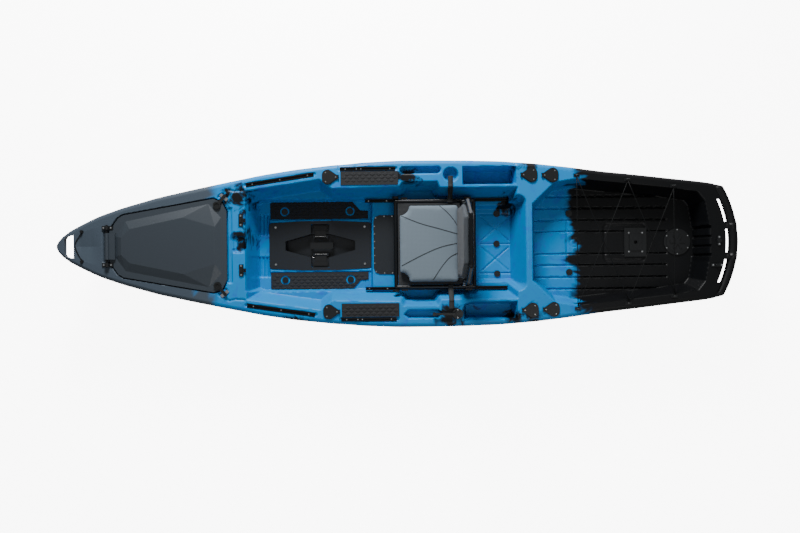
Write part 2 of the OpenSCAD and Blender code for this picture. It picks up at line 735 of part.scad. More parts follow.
module pod_latch() {
    difference() {
        union() {
            translate([pod_x - latch_w / 2, latch_pin_y, latch_pin_z]) rotate([0, 90, 0])
                cylinder(r = 5.5, h = latch_w);
            translate([pod_x - latch_w / 2, latch_pin_y, bay_z + fit + 0.4]) cube([latch_w, 62, 7]);
            translate([pod_x - latch_w / 2 - 8, latch_pin_y + 40, bay_z + fit + 0.4]) cube([latch_w + 16, 24, 12]);
        }
        translate([pod_x - latch_w, latch_pin_y, latch_pin_z]) rotate([0, 90, 0])
            cylinder(r = 3 + pin_gap, h = 2 * latch_w);
    }
}
module pod_latch_port() {
    color("#17191c") pod_latch();
}
module pod_latch_starboard() {
    color("#17191c") mirror([0, 1, 0]) pod_latch();
}

// ---- console ---------------------------------------------------------------------------------------------------------
console_t = 4;
console_screw_places = mirrored([
    [console_x[1] - 6, 18], [console_x[1] - 6, 60], [console_x[1] - 6, 102],
    [console_x[1] - 14, console_half - 14], [console_x[1] - 60, console_half - 6],
    [console_x[1] - 104, console_half - 6], [console_x[0] + 6, 100], [console_x[0] + 6, 30]
]);
module console_panel() {
    color("#30343a") translate([0, 0, bench_z]) difference() {
        linear_extrude(console_t) polygon(mirrored([
            [console_x[1], console_half - 34], [console_x[1] - 10, console_half - 10],
            [console_x[1] - 34, console_half], [console_x[0], console_half]
        ]));
        for (p = console_screw_places) translate([p[0], p[1], console_t]) screw_hole(3.6, console_t);
    }
}
module console_screws() {
    color("silver") for (p = console_screw_places)
        translate([p[0], p[1], bench_z + console_t]) screw(3.6, console_t);
}

// ---- seat ---------------------------------------------------------------------------------------------------------------
rail_top = bench_z + rail_h;
tube_z = rail_top + seat_lift;
tube_y = rail_y - 9;
rail_len = rail_front - rail_aft;
rail_slot = 0.45 * rail_w;
rail_screw_x = [rail_front - 20, 60, -160, -290, rail_aft + 20];
shoe_len = 36;
shoe_x = [seat_front - 46, seat_rear + 30.5];
module seat_rail() {
    translate([rail_aft, rail_y, bench_z]) difference() {
        rotate([90, 0, 90]) linear_extrude(rail_len) difference() {
            translate([-rail_w / 2, 0]) square([rail_w, rail_h]);
            translate([-rail_slot / 2, 3]) square([rail_slot, rail_h]);
            translate([-rail_w / 2 + 2.5, 3]) square([rail_w - 5, rail_h - 6]);
        }
        for (x = rail_screw_x) translate([x - rail_aft, 0, 3]) screw_hole(3.4, 3);
    }
}
module seat_rails() {
    color("#1a1c1f") both_sides() seat_rail();
}
module rail_screws() {
    color("silver") both_sides() for (x = rail_screw_x) translate([x, rail_y, bench_z + 3]) screw(3.4, 3);
}
module tube(a, b, r) {
    d = b - a;
    translate(a) rotate([0, acos(d[2] / norm(d)), atan2(d[1], d[0])]) cylinder(r = r, h = norm(d));
}
module ball(p, r) {
    translate(p) sphere(r);
}
pivot = [-352, back_half + 17, tube_z + 87];
ear_t = 6;
module seat_frame() {
    corner = [[seat_front, tube_y, tube_z], [seat_rear, tube_y, tube_z]];
    color("#202327") {
        for (p = corner) {
            tube(p, [p[0], -tube_y, p[2]], tube_r);
            ball(p, tube_r);
            ball([p[0], -p[1], p[2]], tube_r);
        }
        both_sides() {
            tube(corner[1], corner[0], tube_r);
            difference() {
                union() {
                    translate([pivot[0] - 14, pivot[1] - ear_t / 2, tube_z - 6]) cube([28, ear_t, pivot[2] - tube_z + 6]);
                    translate([pivot[0], pivot[1] - ear_t / 2, pivot[2]]) rotate([-90, 0, 0])
                        cylinder(r = 14, h = ear_t);
                    translate([pivot[0] - 14, pivot[1], tube_z - 6]) cube([28, tube_y - pivot[1], 10]);
                }
                translate([pivot[0], pivot[1] - 20, pivot[2]]) rotate([-90, 0, 0]) cylinder(r = 5, h = 40);
            }
            translate([seat_front, tube_y, tube_z]) rotate([-90, 0, 0]) cylinder(r = 7, h = tube_r + 2);
        }
    }
}
module seat_shoes() {
    color("#17191c") both_sides() for (x = shoe_x) translate([x, rail_y, 0]) difference() {
        union() {
            translate([-shoe_len / 2, -20, rail_top + fit]) cube([shoe_len, 32, seat_lift - 4]);
            translate([2 - shoe_len / 2, -rail_slot / 2 + 0.6, rail_top - rail_h + 6])
                cube([shoe_len - 4, rail_slot - 1.2, 14]);
            translate([2 - shoe_len / 2, -rail_w / 2 + 3.2, rail_top - rail_h + 5.6])
                cube([shoe_len - 4, rail_w - 6.4, rail_h - 9]);
        }
        translate([-40, -9, tube_z]) rotate([0, 90, 0]) cylinder(r = tube_r, h = 80);
    }
}
knob_y = tube_y + tube_r + 2.4;
module seat_knob() {
    translate([seat_front, knob_y, tube_z]) rotate([-90, 0, 0]) {
        cylinder(r = 15, h = 12);
        for (a = [0:72:359]) rotate(a) translate([13, 0, 0]) cylinder(r = 5, h = 12);
    }
}
module seat_knob_port() {
    color("#111315") seat_knob();
}
module seat_knob_starboard() {
    color("#111315") mirror([0, 1, 0]) seat_knob();
}
cushion_x = [-331, -5];
sling_z = tube_z + 7;
cushion_z = sling_z + 3;
module seat_mesh() {
    color("#101113") translate([seat_rear + tube_r + 1, -tube_y + 20, sling_z])
        cube([seat_front - seat_rear - 2 * tube_r - 2, 2 * tube_y - 40, 2]);
}
module seat_cushion() {
    notch = 62;
    color("#7b868d") translate([0, 0, cushion_z]) linear_extrude(cushion_t) difference() {
        translate([cushion_x[0], -cushion_half]) square([cushion_x[1] - cushion_x[0], 2 * cushion_half]);
        for (s = [-1, 1]) translate([cushion_x[1] + 6, s * (cushion_half + 6)]) circle(notch);
    }
}
back_top = pivot[2] + back_h;
back_leg_r = 10;
module back_frame() {
    x = pivot[0];
    knee = [x, back_half, pivot[2] + 0.62 * back_h];
    head = [x, 125, back_top];
    color("#202327") {
        both_sides() {
            difference() {
                tube([x, back_half, pivot[2] - 14], knee, back_leg_r);
                translate([x, back_half - 30, pivot[2]]) rotate([-90, 0, 0]) cylinder(r = 5 + pin_gap, h = 60);
            }
            ball(knee, back_leg_r + 1);
            tube(knee, head, back_leg_r);
            ball(head, back_leg_r + 1);
        }
        tube([x, -125, back_top], [x, 125, back_top], back_leg_r);
        tube([x, -back_half, pivot[2] + 24], [x, back_half, pivot[2] + 24], 7);
    }
}
module back_pad() {
    color("#7b868d") translate([pivot[0] + back_leg_r + 0.3, 0, pivot[2] - 30]) rotate([90, 0, 90]) linear_extrude(20)
        difference() {
            polygon([
                [-196, 0], [196, 0], [196, 0.6 * back_h + 30], [122, back_h + 34], [-122, back_h + 34],
                [-196, 0.6 * back_h + 30]
            ]);
        }
}
module back_mesh() {
    b = [pivot[0] - 36, pivot[2] - 34];
    t = [pivot[0] - back_leg_r - 2, back_top - 14];
    color("#2a2d31") rotate([90, 0, 0]) translate([0, 0, -150]) linear_extrude(300)
        polygon([[b[0], b[1]], [b[0] + 3, b[1]], [t[0] + 1.5, t[1]], [t[0] - 1.5, t[1]]]);
}
module back_pins() {
    color("silver") both_sides() {
        translate([pivot[0], back_half - back_leg_r - 3, pivot[2]]) rotate([-90, 0, 0])
            cylinder(r = 5, h = pivot[1] - back_half + back_leg_r + 3 + ear_t / 2 + 2);
        translate([pivot[0], back_half - back_leg_r - 6, pivot[2]]) rotate([-90, 0, 0]) cylinder(r = 8, h = 3);
        translate([pivot[0], pivot[1] + ear_t / 2, pivot[2]]) rotate([-90, 0, 0]) cylinder(r = 8, h = 4);
    }
}
strap_x = -286;
strap_w = 27;
strap_t = 2;
// The strap runs over the side tube, down to the bench, up the cockpit side and on to the deck.
module seat_strap(anchor_y, anchor_z) {
    y0 = tube_y - tube_r - 2 - strap_t;
    top = tube_z + tube_r + 1;
    route = [
        [y0, tube_z - 8], [y0, top], [y0 + 4, top + strap_t], [tube_y + tube_r, top + 4],
        [cockpit_half, gunwale_h + 3.2], [cockpit_half + 14, gunwale_h + strap_t + 0.3],
        [anchor_y - 12, gunwale_h + strap_t + 0.3], [anchor_y, anchor_z + strap_t + 0.3]
    ];
    under = [
        [anchor_y, anchor_z + 0.3], [anchor_y - 12 - (gunwale_h - anchor_z) * 0.05, gunwale_h + 0.3],
        [cockpit_half + 14, gunwale_h + 0.3], [cockpit_half + 1.5, gunwale_h + 0.9],
        [tube_y + tube_r + 1, top + 1.5], [y0 + strap_t, top], [y0 + strap_t, tube_z - 8]
    ];
    translate([strap_x - strap_w / 2, 0, 0]) rotate([90, 0, 90]) linear_extrude(strap_w)
        polygon(concat(route, under));
}
module seat_straps() {
    color("#141618") {
        seat_strap(beam / 2 - 98, gunwale_h);
        mirror([0, 1, 0]) seat_strap(-cup[1] - 8, gunwale_h);
    }
}

// ---- steering and rudder ------------------------------------------------------------------------------------------
base_h = 8;
lever_z = gunwale_h + base_h + fit;
module steering_base() {
    color("#1b1e22") translate([lever_pos[0], lever_pos[1], gunwale_h]) {
        difference() {
            cylinder(r = 28, h = base_h);
            for (s = [-1, 1]) translate([0, s * 21, base_h]) screw_hole(5, base_h);
        }
        cylinder(r = 8, h = base_h + 24);
    }
}
module steering_lever() {
    color("#24272b") translate([lever_pos[0], lever_pos[1], lever_z]) difference() {
        union() {
            cylinder(r = 15, h = 20);
            translate([0, -6, 8]) cube([lever_len - 8, 12, 8]);
            translate([lever_len - 10, 0, 4]) cylinder(r = 10, h = 18);
        }
        translate([0, 0, -1]) cylinder(r = 8 + pin_gap, h = 40);
    }
}
bush_flange = 4;
module rudder_bush() {
    z0 = keel_z(rudder_x) + 2;
    color("#1b1e22") translate([rudder_x, 0, 0]) difference() {
        union() {
            translate([0, 0, z0]) cylinder(r = stock_r + 4, h = gunwale_h - z0 + 1);
            translate([0, 0, gunwale_h + 0.2]) linear_extrude(bush_flange) hull()
                for (s = [-19, 19]) translate([0, s]) circle(9);
        }
        translate([0, 0, -1]) cylinder(r = stock_r + pin_gap, h = tall);
        for (s = [-19, 19]) translate([0, s, gunwale_h + bush_flange]) screw_hole(5, bush_flange);
    }
}
blade_top = keel_z(rudder_x + 62) - 10;
module rudder() {
    color("#22262a") translate([rudder_x, 0, 0]) {
        translate([0, 0, 30]) cylinder(r = stock_r, h = gunwale_h + bush_flange + 6 - 30);
        translate([0, 0, gunwale_h + bush_flange + 0.6]) cylinder(r = stock_r + 3, h = 5);
        translate([0, 0, 12]) cylinder(r = stock_r, h = blade_top - 12);
        translate([0, 0, 12]) linear_extrude(blade_top - 12)
            polygon([[60, 0], [40, 5], [0, 7], [-70, 3], [-98, 1], [-98, -1], [-70, -3], [0, -7], [40, -5]]);
    }
}

// ---- tank well ---------------------------------------------------------------------------------------------------------
plate_x = -1320;
plate_size = [123, 160];
module deck_plate_ring() {
    color("#1b1e22") translate([deck_plate_x, 0, tank_floor_z]) difference() {
        cylinder(r = deck_plate_r, h = 6);
        translate([0, 0, -1]) cylinder(r = deck_plate_r - 22, h = 10);
        translate([0, 0, 4]) cylinder(r = deck_plate_r - 12, h = 4);
        for (a = [30:60:359]) rotate(a) translate([deck_plate_r - 6, 0, 6]) screw_hole(3.6, 6);
    }
}
module deck_plate_lid() {
    color("#24282c") translate([deck_plate_x, 0, tank_floor_z]) difference() {
        union() {
            translate([0, 0, 4 + 0.3]) cylinder(r = deck_plate_r - 12.4, h = 4);
            translate([0, 0, -12]) cylinder(r = deck_plate_r - 22.5, h = 17);
            for (a = [0:60:179]) rotate(a) translate([-42, -5, 4.3]) cube([84, 10, 9]);
        }
        translate([0, 0, -13]) cylinder(r = deck_plate_r - 27, h = 12);
    }
}
module mounting_plate() {
    color("#202327") translate([plate_x, 0, tank_floor_z]) difference() {
        union() {
            translate([-plate_size[0] / 2, -plate_size[1] / 2, 0]) cube([plate_size[0], plate_size[1], 6]);
            translate([-34, -46, 6]) cube([68, 92, 5]);
        }
        translate([0, 0, -1]) cylinder(r = 10, h = 20);
        for (x = [-37, 37], y = [-52, 52]) translate([x, y, 6]) screw_hole(5, 6);
    }
}
cord_eyes = [[-962, beam / 2 - 93], [-1234, beam / 2 - 119], [-1480, beam / 2 - 154]];
eye_ring = 9;
cord_z = gunwale_h + eye_ring + 2.5;
module shock_cord_eyes() {
    color("#1b1e22") both_sides() for (p = cord_eyes) translate([p[0], p[1], gunwale_h]) {
        translate([-16, -8, 0]) cube([32, 16, 3]);
        translate([0, 0, eye_ring + 2.5]) rotate([90, 0, 0]) rotate_extrude()
            translate([eye_ring, 0]) circle(2.5);
    }
}
// Lacing in six runs: straight across at both ends, with a cross between each pair of eyes.
module shock_cord() {
    low = [for (s = [-1, 1]) [for (p = cord_eyes) [p[0], s * p[1], cord_z - 4]]];
    up = [0, 0, 2 * cord_r + 0.6];
    aside = [2 * cord_r + 1, 0, 0];
    color("#101214") {
        for (i = [0, 2]) tube(low[0][i], low[1][i], cord_r, $fn = 8);
        tube(low[1][0] - aside, low[0][1], cord_r, $fn = 8);
        tube(low[1][1], low[0][2] + aside, cord_r, $fn = 8);
        for (i = [0, 1]) tube(low[0][i] + up, low[1][i + 1] + up, cord_r, $fn = 8);
    }
}
stern_eye_pos = [-half_len + 119, 131];
module stern_eye() {
    color("#1b1e22") translate([stern_eye_pos[0], stern_eye_pos[1], gunwale_h]) difference() {
        union() {
            translate([-32, -9, 0]) cube([64, 18, 4]);
            translate([-12, -4, 0]) cube([24, 8, 20]);
        }
        translate([0, 10, 11]) rotate([90, 0, 0]) cylinder(r = 6, h = 20);
        for (s = [-23, 23]) translate([s, 0, 4]) screw_hole(5, 4);
    }
}
module deck_screws() {
    color("silver") {
        on_bow() both_sides() {
            for (p = eye_screws) translate([p[0], p[1], 5]) screw(4.5, 5);
            keeper_screw_places() screw(4, keeper_t);
        }
        both_sides() for (s = [-24, 24]) translate([cleat_pos[0], cleat_pos[1] + s, gunwale_h + 4]) screw(5, 4);
        for (s = [-21, 21]) translate([lever_pos[0], lever_pos[1] + s, gunwale_h + base_h]) screw(4, base_h);
        for (s = [-19, 19]) translate([rudder_x, s, gunwale_h + 0.2 + bush_flange]) screw(5, bush_flange);
        for (s = [-23, 23]) translate([stern_eye_pos[0] + s, stern_eye_pos[1], gunwale_h + 4]) screw(5, 4);
        for (x = [-37, 37], y = [-52, 52]) translate([plate_x + x, y, tank_floor_z + 6]) screw(5, 6);
        for (a = [30:60:359]) translate([deck_plate_x, 0, tank_floor_z + 6]) rotate(a)
            translate([deck_plate_r - 6, 0, 0]) screw(3.6, 6);
    }
}

hull_shell();  // hull
bow_hatch_lid();
bow_hatch_seal();
bow_hinge_rod();
bow_hinge_eyes();
hatch_latch_port();
hatch_latch_starboard();
hatch_keepers();
bow_cord_eyes();
bow_cord();
deck_cleats();
gear_tracks_fore();
gear_tracks_mid();
track_bolts();
rod_holders_fore();
rod_holders_mid();
rod_holders_aft();
rod_cap_fore_port();
rod_cap_fore_starboard();
rod_cap_mid_port();
rod_cap_mid_starboard();
rod_cap_aft_port();
rod_cap_aft_starboard();
rod_holder_screws();
side_pads();
foot_pads();
scupper_plugs();
drive_pod();
drive_pod_seal();
drive_pod_bolts();
pod_plug();
pod_plug_handle();
pod_latch_port();
pod_latch_starboard();
console_panel();
console_screws();
seat_rails();
rail_screws();
seat_frame();
seat_shoes();
seat_knob_port();
seat_knob_starboard();
seat_cushion();
seat_mesh();
back_frame();
back_pad();
back_mesh();
back_pins();
seat_straps();
steering_base();
steering_lever();
rudder();
rudder_bush();
deck_plate_ring();
deck_plate_lid();
mounting_plate();
shock_cord();
shock_cord_eyes();
stern_eye();
deck_screws();
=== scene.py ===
import math

import bmesh
import bpy
import numpy as np
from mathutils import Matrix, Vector


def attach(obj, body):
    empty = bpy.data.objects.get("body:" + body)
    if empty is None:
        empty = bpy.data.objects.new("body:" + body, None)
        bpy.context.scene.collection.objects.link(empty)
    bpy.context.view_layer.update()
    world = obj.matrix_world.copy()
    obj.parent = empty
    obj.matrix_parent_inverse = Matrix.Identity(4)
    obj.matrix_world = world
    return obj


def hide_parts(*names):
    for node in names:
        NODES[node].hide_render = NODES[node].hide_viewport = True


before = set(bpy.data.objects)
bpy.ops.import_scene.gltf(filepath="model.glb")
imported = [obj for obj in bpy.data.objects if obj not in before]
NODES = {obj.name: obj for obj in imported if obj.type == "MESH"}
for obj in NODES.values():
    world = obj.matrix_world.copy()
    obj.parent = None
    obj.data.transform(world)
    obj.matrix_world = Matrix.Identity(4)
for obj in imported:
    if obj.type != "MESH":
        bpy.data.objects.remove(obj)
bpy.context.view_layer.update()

bl_info = {
    "name": "Pedal boat",
    "version": (1, 0, 0),
    "blender": (4, 5, 0),
    "location": "3D View > Sidebar > Pedal boat",
    "description": "Builds the visual model of a pedal boat round its CAD frame",
    "category": "Object",
}

MM = 0.001
HALF_LEN = 1830.0
BEAM = 450.0
DECK = 340.0


# ---- settings ------------------------------------------------------------------------------------

def hex_rgb(text):
    return tuple(int(text[i:i + 2], 16) / 255 for i in (0, 2, 4))


def linear(colour):
    """The one place where an sRGB colour becomes a linear one."""
    flat = [c / 12.92 if c <= 0.04045 else ((c + 0.055) / 1.055) ** 2.4 for c in colour[:3]]
    return (*flat, 1.0)


def colour_prop(label, text, words):
    return bpy.props.FloatVectorProperty(name=label, description=words, default=hex_rgb(text),
                                         subtype="COLOR_GAMMA", size=3, min=0, max=1)


class BoatColours(bpy.types.PropertyGroup):
    blue: colour_prop("Hull blue", "0074B2", "Main colour of the marbled hull")
    # Hull black also paints the shade round the drive pod and in its bay.
    black: colour_prop("Hull black", "08090B", "Dark swirl of the marbled hull")
    slate: colour_prop("Bow slate", "3A444E", "Grey of the bow")
    lid: colour_prop("Hatch", "2A3138", "Grey of the bow hatch")
    trim: colour_prop("Trim", "0C0E10", "Moulded black fittings")
    cushion: colour_prop("Cushion", "5C6973", "Seat fabric")
    steel: colour_prop("Steel", "D5D8DA", "Screws and keepers")


class BoatSizes(bpy.types.PropertyGroup):
    grid: bpy.props.FloatProperty(name="Hull grid", description="Spacing of the hull's mesh, in mm",
                                  default=4.9, min=4, max=20)
    edge: bpy.props.FloatProperty(name="Edge radius", description="Rounding of the fittings' edges",
                                  default=0.0012, min=0.0002, max=0.004, subtype="DISTANCE", unit="LENGTH")
    stud_pitch: bpy.props.FloatProperty(name="Stud pitch", description="Spacing of the studs on the foam pads",
                                        default=0.034, min=0.015, max=0.06, subtype="DISTANCE", unit="LENGTH")
    voxel: bpy.props.FloatProperty(name="Cushion voxel", description="Mesh size of the stuffed pieces",
                                   default=0.005, min=0.003, max=0.01, subtype="DISTANCE", unit="LENGTH")


# ---- shader helpers ------------------------------------------------------------------------------

def node(tree, kind, inputs=(), out=0, **props):
    """Adds a node, sets its properties and inputs, and returns one output socket."""
    made = tree.nodes.new(kind)
    for key, value in props.items():
        setattr(made, key, value)
    for key, value in dict(inputs).items():
        if isinstance(value, bpy.types.NodeSocket):
            tree.links.new(value, made.inputs[key])
        else:
            made.inputs[key].default_value = value
    return made.outputs[out]


def new_material(name, colour, rough, metal=0.0, bump=None, **extra):
    """A Principled material; bump is (scale per metre, height in metres, stretch) of a fine grain."""
    mat = bpy.data.materials.new(name)
    mat.use_nodes = True
    tree = mat.node_tree
    shader = tree.nodes["Principled BSDF"]
    shader.inputs["Roughness"].default_value = rough
    shader.inputs["Metallic"].default_value = metal
    for key, value in extra.items():
        shader.inputs[key.replace("_", " ")].default_value = value
    if isinstance(colour, tuple):
        shader.inputs["Base Color"].default_value = colour
        mat.diffuse_color = colour
    if bump:
        place = node(tree, "ShaderNodeTexCoord", out=3)
        spread = node(tree, "ShaderNodeMapping", {0: place, 3: bump[2]})
        grain = node(tree, "ShaderNodeTexNoise", {"Vector": spread, "Scale": bump[0], "Detail": 4.0})
        normal = node(tree, "ShaderNodeBump", {"Height": grain, "Distance": bump[1], "Strength": 0.6})
        tree.links.new(normal, shader.inputs["Normal"])
    return mat


def smooth_step(tree, value, low, high):
    return node(tree, "ShaderNodeMapRange", {0: value, 1: low, 2: high, 3: 0.0, 4: 1.0},
                interpolation_type="SMOOTHSTEP")


def maths(tree, kind, a, b=0.0):
    return node(tree, "ShaderNodeMath", {0: a, 1: b}, operation=kind)


def mix(tree, factor, a, b):
    return node(tree, "ShaderNodeMix", {0: factor, 6: a, 7: b}, out=2, data_type="RGBA")


def spot(tree, place, centre, size):
    """1 near centre, falling to 0 over size (x and y, in metres)."""
    moved = node(tree, "ShaderNodeVectorMath", {0: place, 1: (-centre[0], -centre[1], 0)}, operation="ADD")
    scaled = node(tree, "ShaderNodeVectorMath", {0: moved, 1: (1 / size[0], 1 / size[1], 0)},
                  operation="MULTIPLY")
    far = node(tree, "ShaderNodeVectorMath", {0: scaled}, out=1, operation="LENGTH")
    return maths(tree, "SUBTRACT", 1.0, far)


# Dark swirls in the blue, and last a painted shade round the drive pod's plinth: centre and reach, in metres.
SWIRLS_AND_POD_SHADE = [
    ((0.86, -0.25), (0.12, 0.12)), ((-0.05, -0.36), (0.13, 0.06)), ((-0.29, 0.385), (0.17, 0.08)),
    ((-0.72, 0.38), (0.10, 0.09)), ((-0.70, -0.40), (0.10, 0.07)), ((0.56, 0.41), (0.13, 0.05)),
    ((0.84, -0.04), (0.07, 0.10)), ((-0.60, -0.22), (0.08, 0.09)), ((-0.62, 0.40), (0.08, 0.06)),
    # Painted shade round the edges of the drive pod's plinth, not a swirl.
    ((0.43, 0.0), (0.30, 0.16)),
]


def hull_plastic(colours):
    """Rotomoulded polyethylene, marbled blue and black, with painted shade round the drive pod and in its bay;
    satin, with a faint orange-peel skin.
    """
    mat = new_material("marbled polyethylene with painted pod shade", None, 0.44, Specular_IOR_Level=0.22)
    tree = mat.node_tree
    shader = tree.nodes["Principled BSDF"]
    place = node(tree, "ShaderNodeTexCoord", out=3)
    along = node(tree, "ShaderNodeSeparateXYZ", {0: place})
    stretched = node(tree, "ShaderNodeMapping", {0: place, 3: (1.0, 2.0, 2.0)})
    wave = node(tree, "ShaderNodeTexNoise",
                {"Vector": stretched, "Scale": 3.4, "Detail": 3.5, "Roughness": 0.55, "Distortion": 0.9})
    fine = node(tree, "ShaderNodeTexNoise",
                {"Vector": place, "Scale": 11.0, "Detail": 5.0, "Roughness": 0.6, "Distortion": 1.4})
    shift = maths(tree, "MULTIPLY", maths(tree, "SUBTRACT", wave, 0.5), 0.34)
    moved = maths(tree, "ADD", along, shift)
    aft = node(tree, "ShaderNodeMapRange", {0: moved, 1: -0.955, 2: -1.0, 3: 0.0, 4: 1.0},
               interpolation_type="SMOOTHSTEP")
    marks = maths(tree, "MULTIPLY", maths(tree, "SUBTRACT", fine, 0.5), 2.6)
    dark = aft
    for centre, size in SWIRLS_AND_POD_SHADE:
        near = maths(tree, "ADD", spot(tree, place, centre, size), marks)
        dark = maths(tree, "MAXIMUM", dark, smooth_step(tree, near, 0.25, 0.75))
    # Painted shade: the drive pod's recessed bay is painted black.
    bay = spot(tree, place, (0.437, 0.0), (0.085, 0.15))
    dark = maths(tree, "MAXIMUM", dark, smooth_step(tree, bay, 0.08, 0.12))
    violet = mix(tree, smooth_step(tree, fine, 0.5, 0.75), linear(colours.blue), linear(hex_rgb("1F5FB0")))
    body = mix(tree, dark, violet, linear(colours.black))
    fore = maths(tree, "ADD", along, maths(tree, "MULTIPLY", maths(tree, "SUBTRACT", wave, 0.5), 0.35))
    body = mix(tree, smooth_step(tree, fore, 0.985, 1.06), body, linear(colours.slate))
    tree.links.new(body, shader.inputs["Base Color"])
    peel = node(tree, "ShaderNodeTexNoise", {"Vector": place, "Scale": 260.0, "Detail": 2.0})
    normal = node(tree, "ShaderNodeBump", {"Height": peel, "Distance": 0.0004, "Strength": 0.35})
    tree.links.new(normal, shader.inputs["Normal"])
    return mat


def make_materials(colours):
    """Every finish by its key. Grain scales are per metre, and coarser than real ones so that they show."""
    even = (1.0, 1.0, 1.0)
    return {
        "hull": hull_plastic(colours),
        # Moulded polyethylene: a soft, even sheen with a faint pebbled skin.
        "slate": new_material("slate polyethylene", linear(colours.lid), 0.4, bump=(300.0, 0.0004, even)),
        # Injection-moulded nylon: satin black, nearly smooth.
        "trim": new_material("black nylon", linear(colours.trim), 0.38, bump=(500.0, 0.0002, even)),
        # Polyethylene plates: a little glossier than the hull, so that they part from it.
        "console": new_material("satin black polyethylene", linear(hex_rgb("171B20")), 0.36,
                                bump=(350.0, 0.0003, even)),
        # Anodised extrusion: half-metallic edges on a dark coat.
        "anodised": new_material("black anodised aluminium", linear(hex_rgb("121417")), 0.34, 0.5),
        # Polished screw heads: small bright points.
        "steel": new_material("stainless steel", linear(colours.steel), 0.22, 1.0),
        # Extruded rubber: dull, with hardly a highlight.
        "rubber": new_material("black rubber", linear(hex_rgb("050607")), 0.65, Specular_IOR_Level=0.2,
                               bump=(420.0, 0.0003, even)),
        # Closed-cell foam: matt, with open pores.
        "foam": new_material("EVA foam", linear(hex_rgb("101216")), 0.85, bump=(240.0, 0.0008, even)),
        # Coated polyester: a matt grey with a fine cross weave.
        "fabric": woven("polyester seat fabric", colours.cushion, 900.0, 0.0004),
        # The same cloth painted darker for the backrest: painted shade on its upright face.
        "shaded_fabric": woven("seat fabric with painted shade", hex_rgb("2A3036"), 900.0, 0.0004),
        # Knitted spacer mesh: an open, coarse weave.
        "mesh": woven("black spacer mesh", hex_rgb("1A1C1F"), 260.0, 0.0012),
        # Flat woven strap: a tight rib.
        "webbing": woven("polypropylene webbing", hex_rgb("1A1C1E"), 500.0, 0.0005),
        # Sewing thread, sunk in the cloth: a thin matt line.
        "thread": new_material("dark thread", linear(hex_rgb("22282C")), 0.8),
    }


def woven(name, colour, scale, height):
    """Cloth with a crossed weave of that many threads per metre."""
    mat = new_material(name, linear(colour), 0.85, Sheen_Weight=0.04, Sheen_Roughness=0.5)
    tree = mat.node_tree
    place = node(tree, "ShaderNodeTexCoord", out=3)
    weave = [node(tree, "ShaderNodeTexWave", {"Vector": place, "Scale": scale / 20, "Distortion": 0.6},
                  out=1, bands_direction=axis) for axis in ("X", "Y")]
    both = maths(tree, "MULTIPLY", weave[0], weave[1])
    tone = mix(tree, maths(tree, "MULTIPLY", both, 0.35), linear(colour), linear([c * 0.72 for c in colour]))
    normal = node(tree, "ShaderNodeBump", {"Height": both, "Distance": height, "Strength": 0.5})
    shader = tree.nodes["Principled BSDF"]
    tree.links.new(tone, shader.inputs["Base Color"])
    tree.links.new(normal, shader.inputs["Normal"])
    return mat


MATERIALS = {}


# ---- mesh helpers --------------------------------------------------------------------------------

def new_object(name, verts, faces, material, body=None, smooth=True):
    mesh = bpy.data.meshes.new(name)
    mesh.from_pydata([tuple(v) for v in verts], [], [tuple(f) for f in faces])
    mesh.update()
    obj = bpy.data.objects.new(name, mesh)
    bpy.context.scene.collection.objects.link(obj)
    if material:
        mesh.materials.append(MATERIALS[material])
    if smooth:
        mesh.shade_smooth()
    if body:
        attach(obj, body)
    return obj


def baked(obj, name):
    """The object with its modifiers applied, as a new plain mesh in its place."""
    graph = bpy.context.evaluated_depsgraph_get()
    mesh = bpy.data.meshes.new_from_object(obj.evaluated_get(graph))
    made = bpy.data.objects.new(name, mesh)
    bpy.context.scene.collection.objects.link(made)
    bpy.data.objects.remove(obj)
    return made


def tube(name, points, radius, material, body, sides=10):
    """A round tube along points, in mm, with flat ends."""
    line = [Vector(p) for p in points]
    verts, faces = [], []
    up = Vector((0, 0, 1))
    for i, p in enumerate(line):
        way = (line[min(i + 1, len(line) - 1)] - line[max(i - 1, 0)]).normalized()
        side = way.cross(up)
        side = side.normalized() if side.length > 0.05 else Vector((0, 1, 0))
        top = side.cross(way).normalized()
        for k in range(sides):
            a = 2 * math.pi * k / sides
            verts.append((p + (side * math.cos(a) + top * math.sin(a)) * radius) * MM)
    for i in range(len(line) - 1):
        for k in range(sides):
            a, b = i * sides + k, i * sides + (k + 1) % sides
            faces.append((a, a + sides, b + sides, b))
    faces.append(tuple(range(sides)))
    faces.append(tuple(reversed(range(len(verts) - sides, len(verts)))))
    obj = new_object(name, verts, faces, material, body)
    outward(obj)
    return obj


def outward(obj):
    work = bmesh.new()
    work.from_mesh(obj.data)
    bmesh.ops.recalc_face_normals(work, faces=work.faces)
    work.to_mesh(obj.data)
    work.free()


def prism(outline, low, high):
    """Verts and faces of an upright prism on an outline in mm."""
    n = len(outline)
    verts = [(x * MM, y * MM, z * MM) for z in (low, high) for x, y in outline]
    faces = [(i, (i + 1) % n, (i + 1) % n + n, i + n) for i in range(n)]
    return verts, faces + [tuple(reversed(range(n))), tuple(range(n, 2 * n))]


def mirrored(points):
    return list(points) + [(x, -y) for x, y in reversed(points)]


# ---- the hull's shape ----------------------------------------------------------------------------

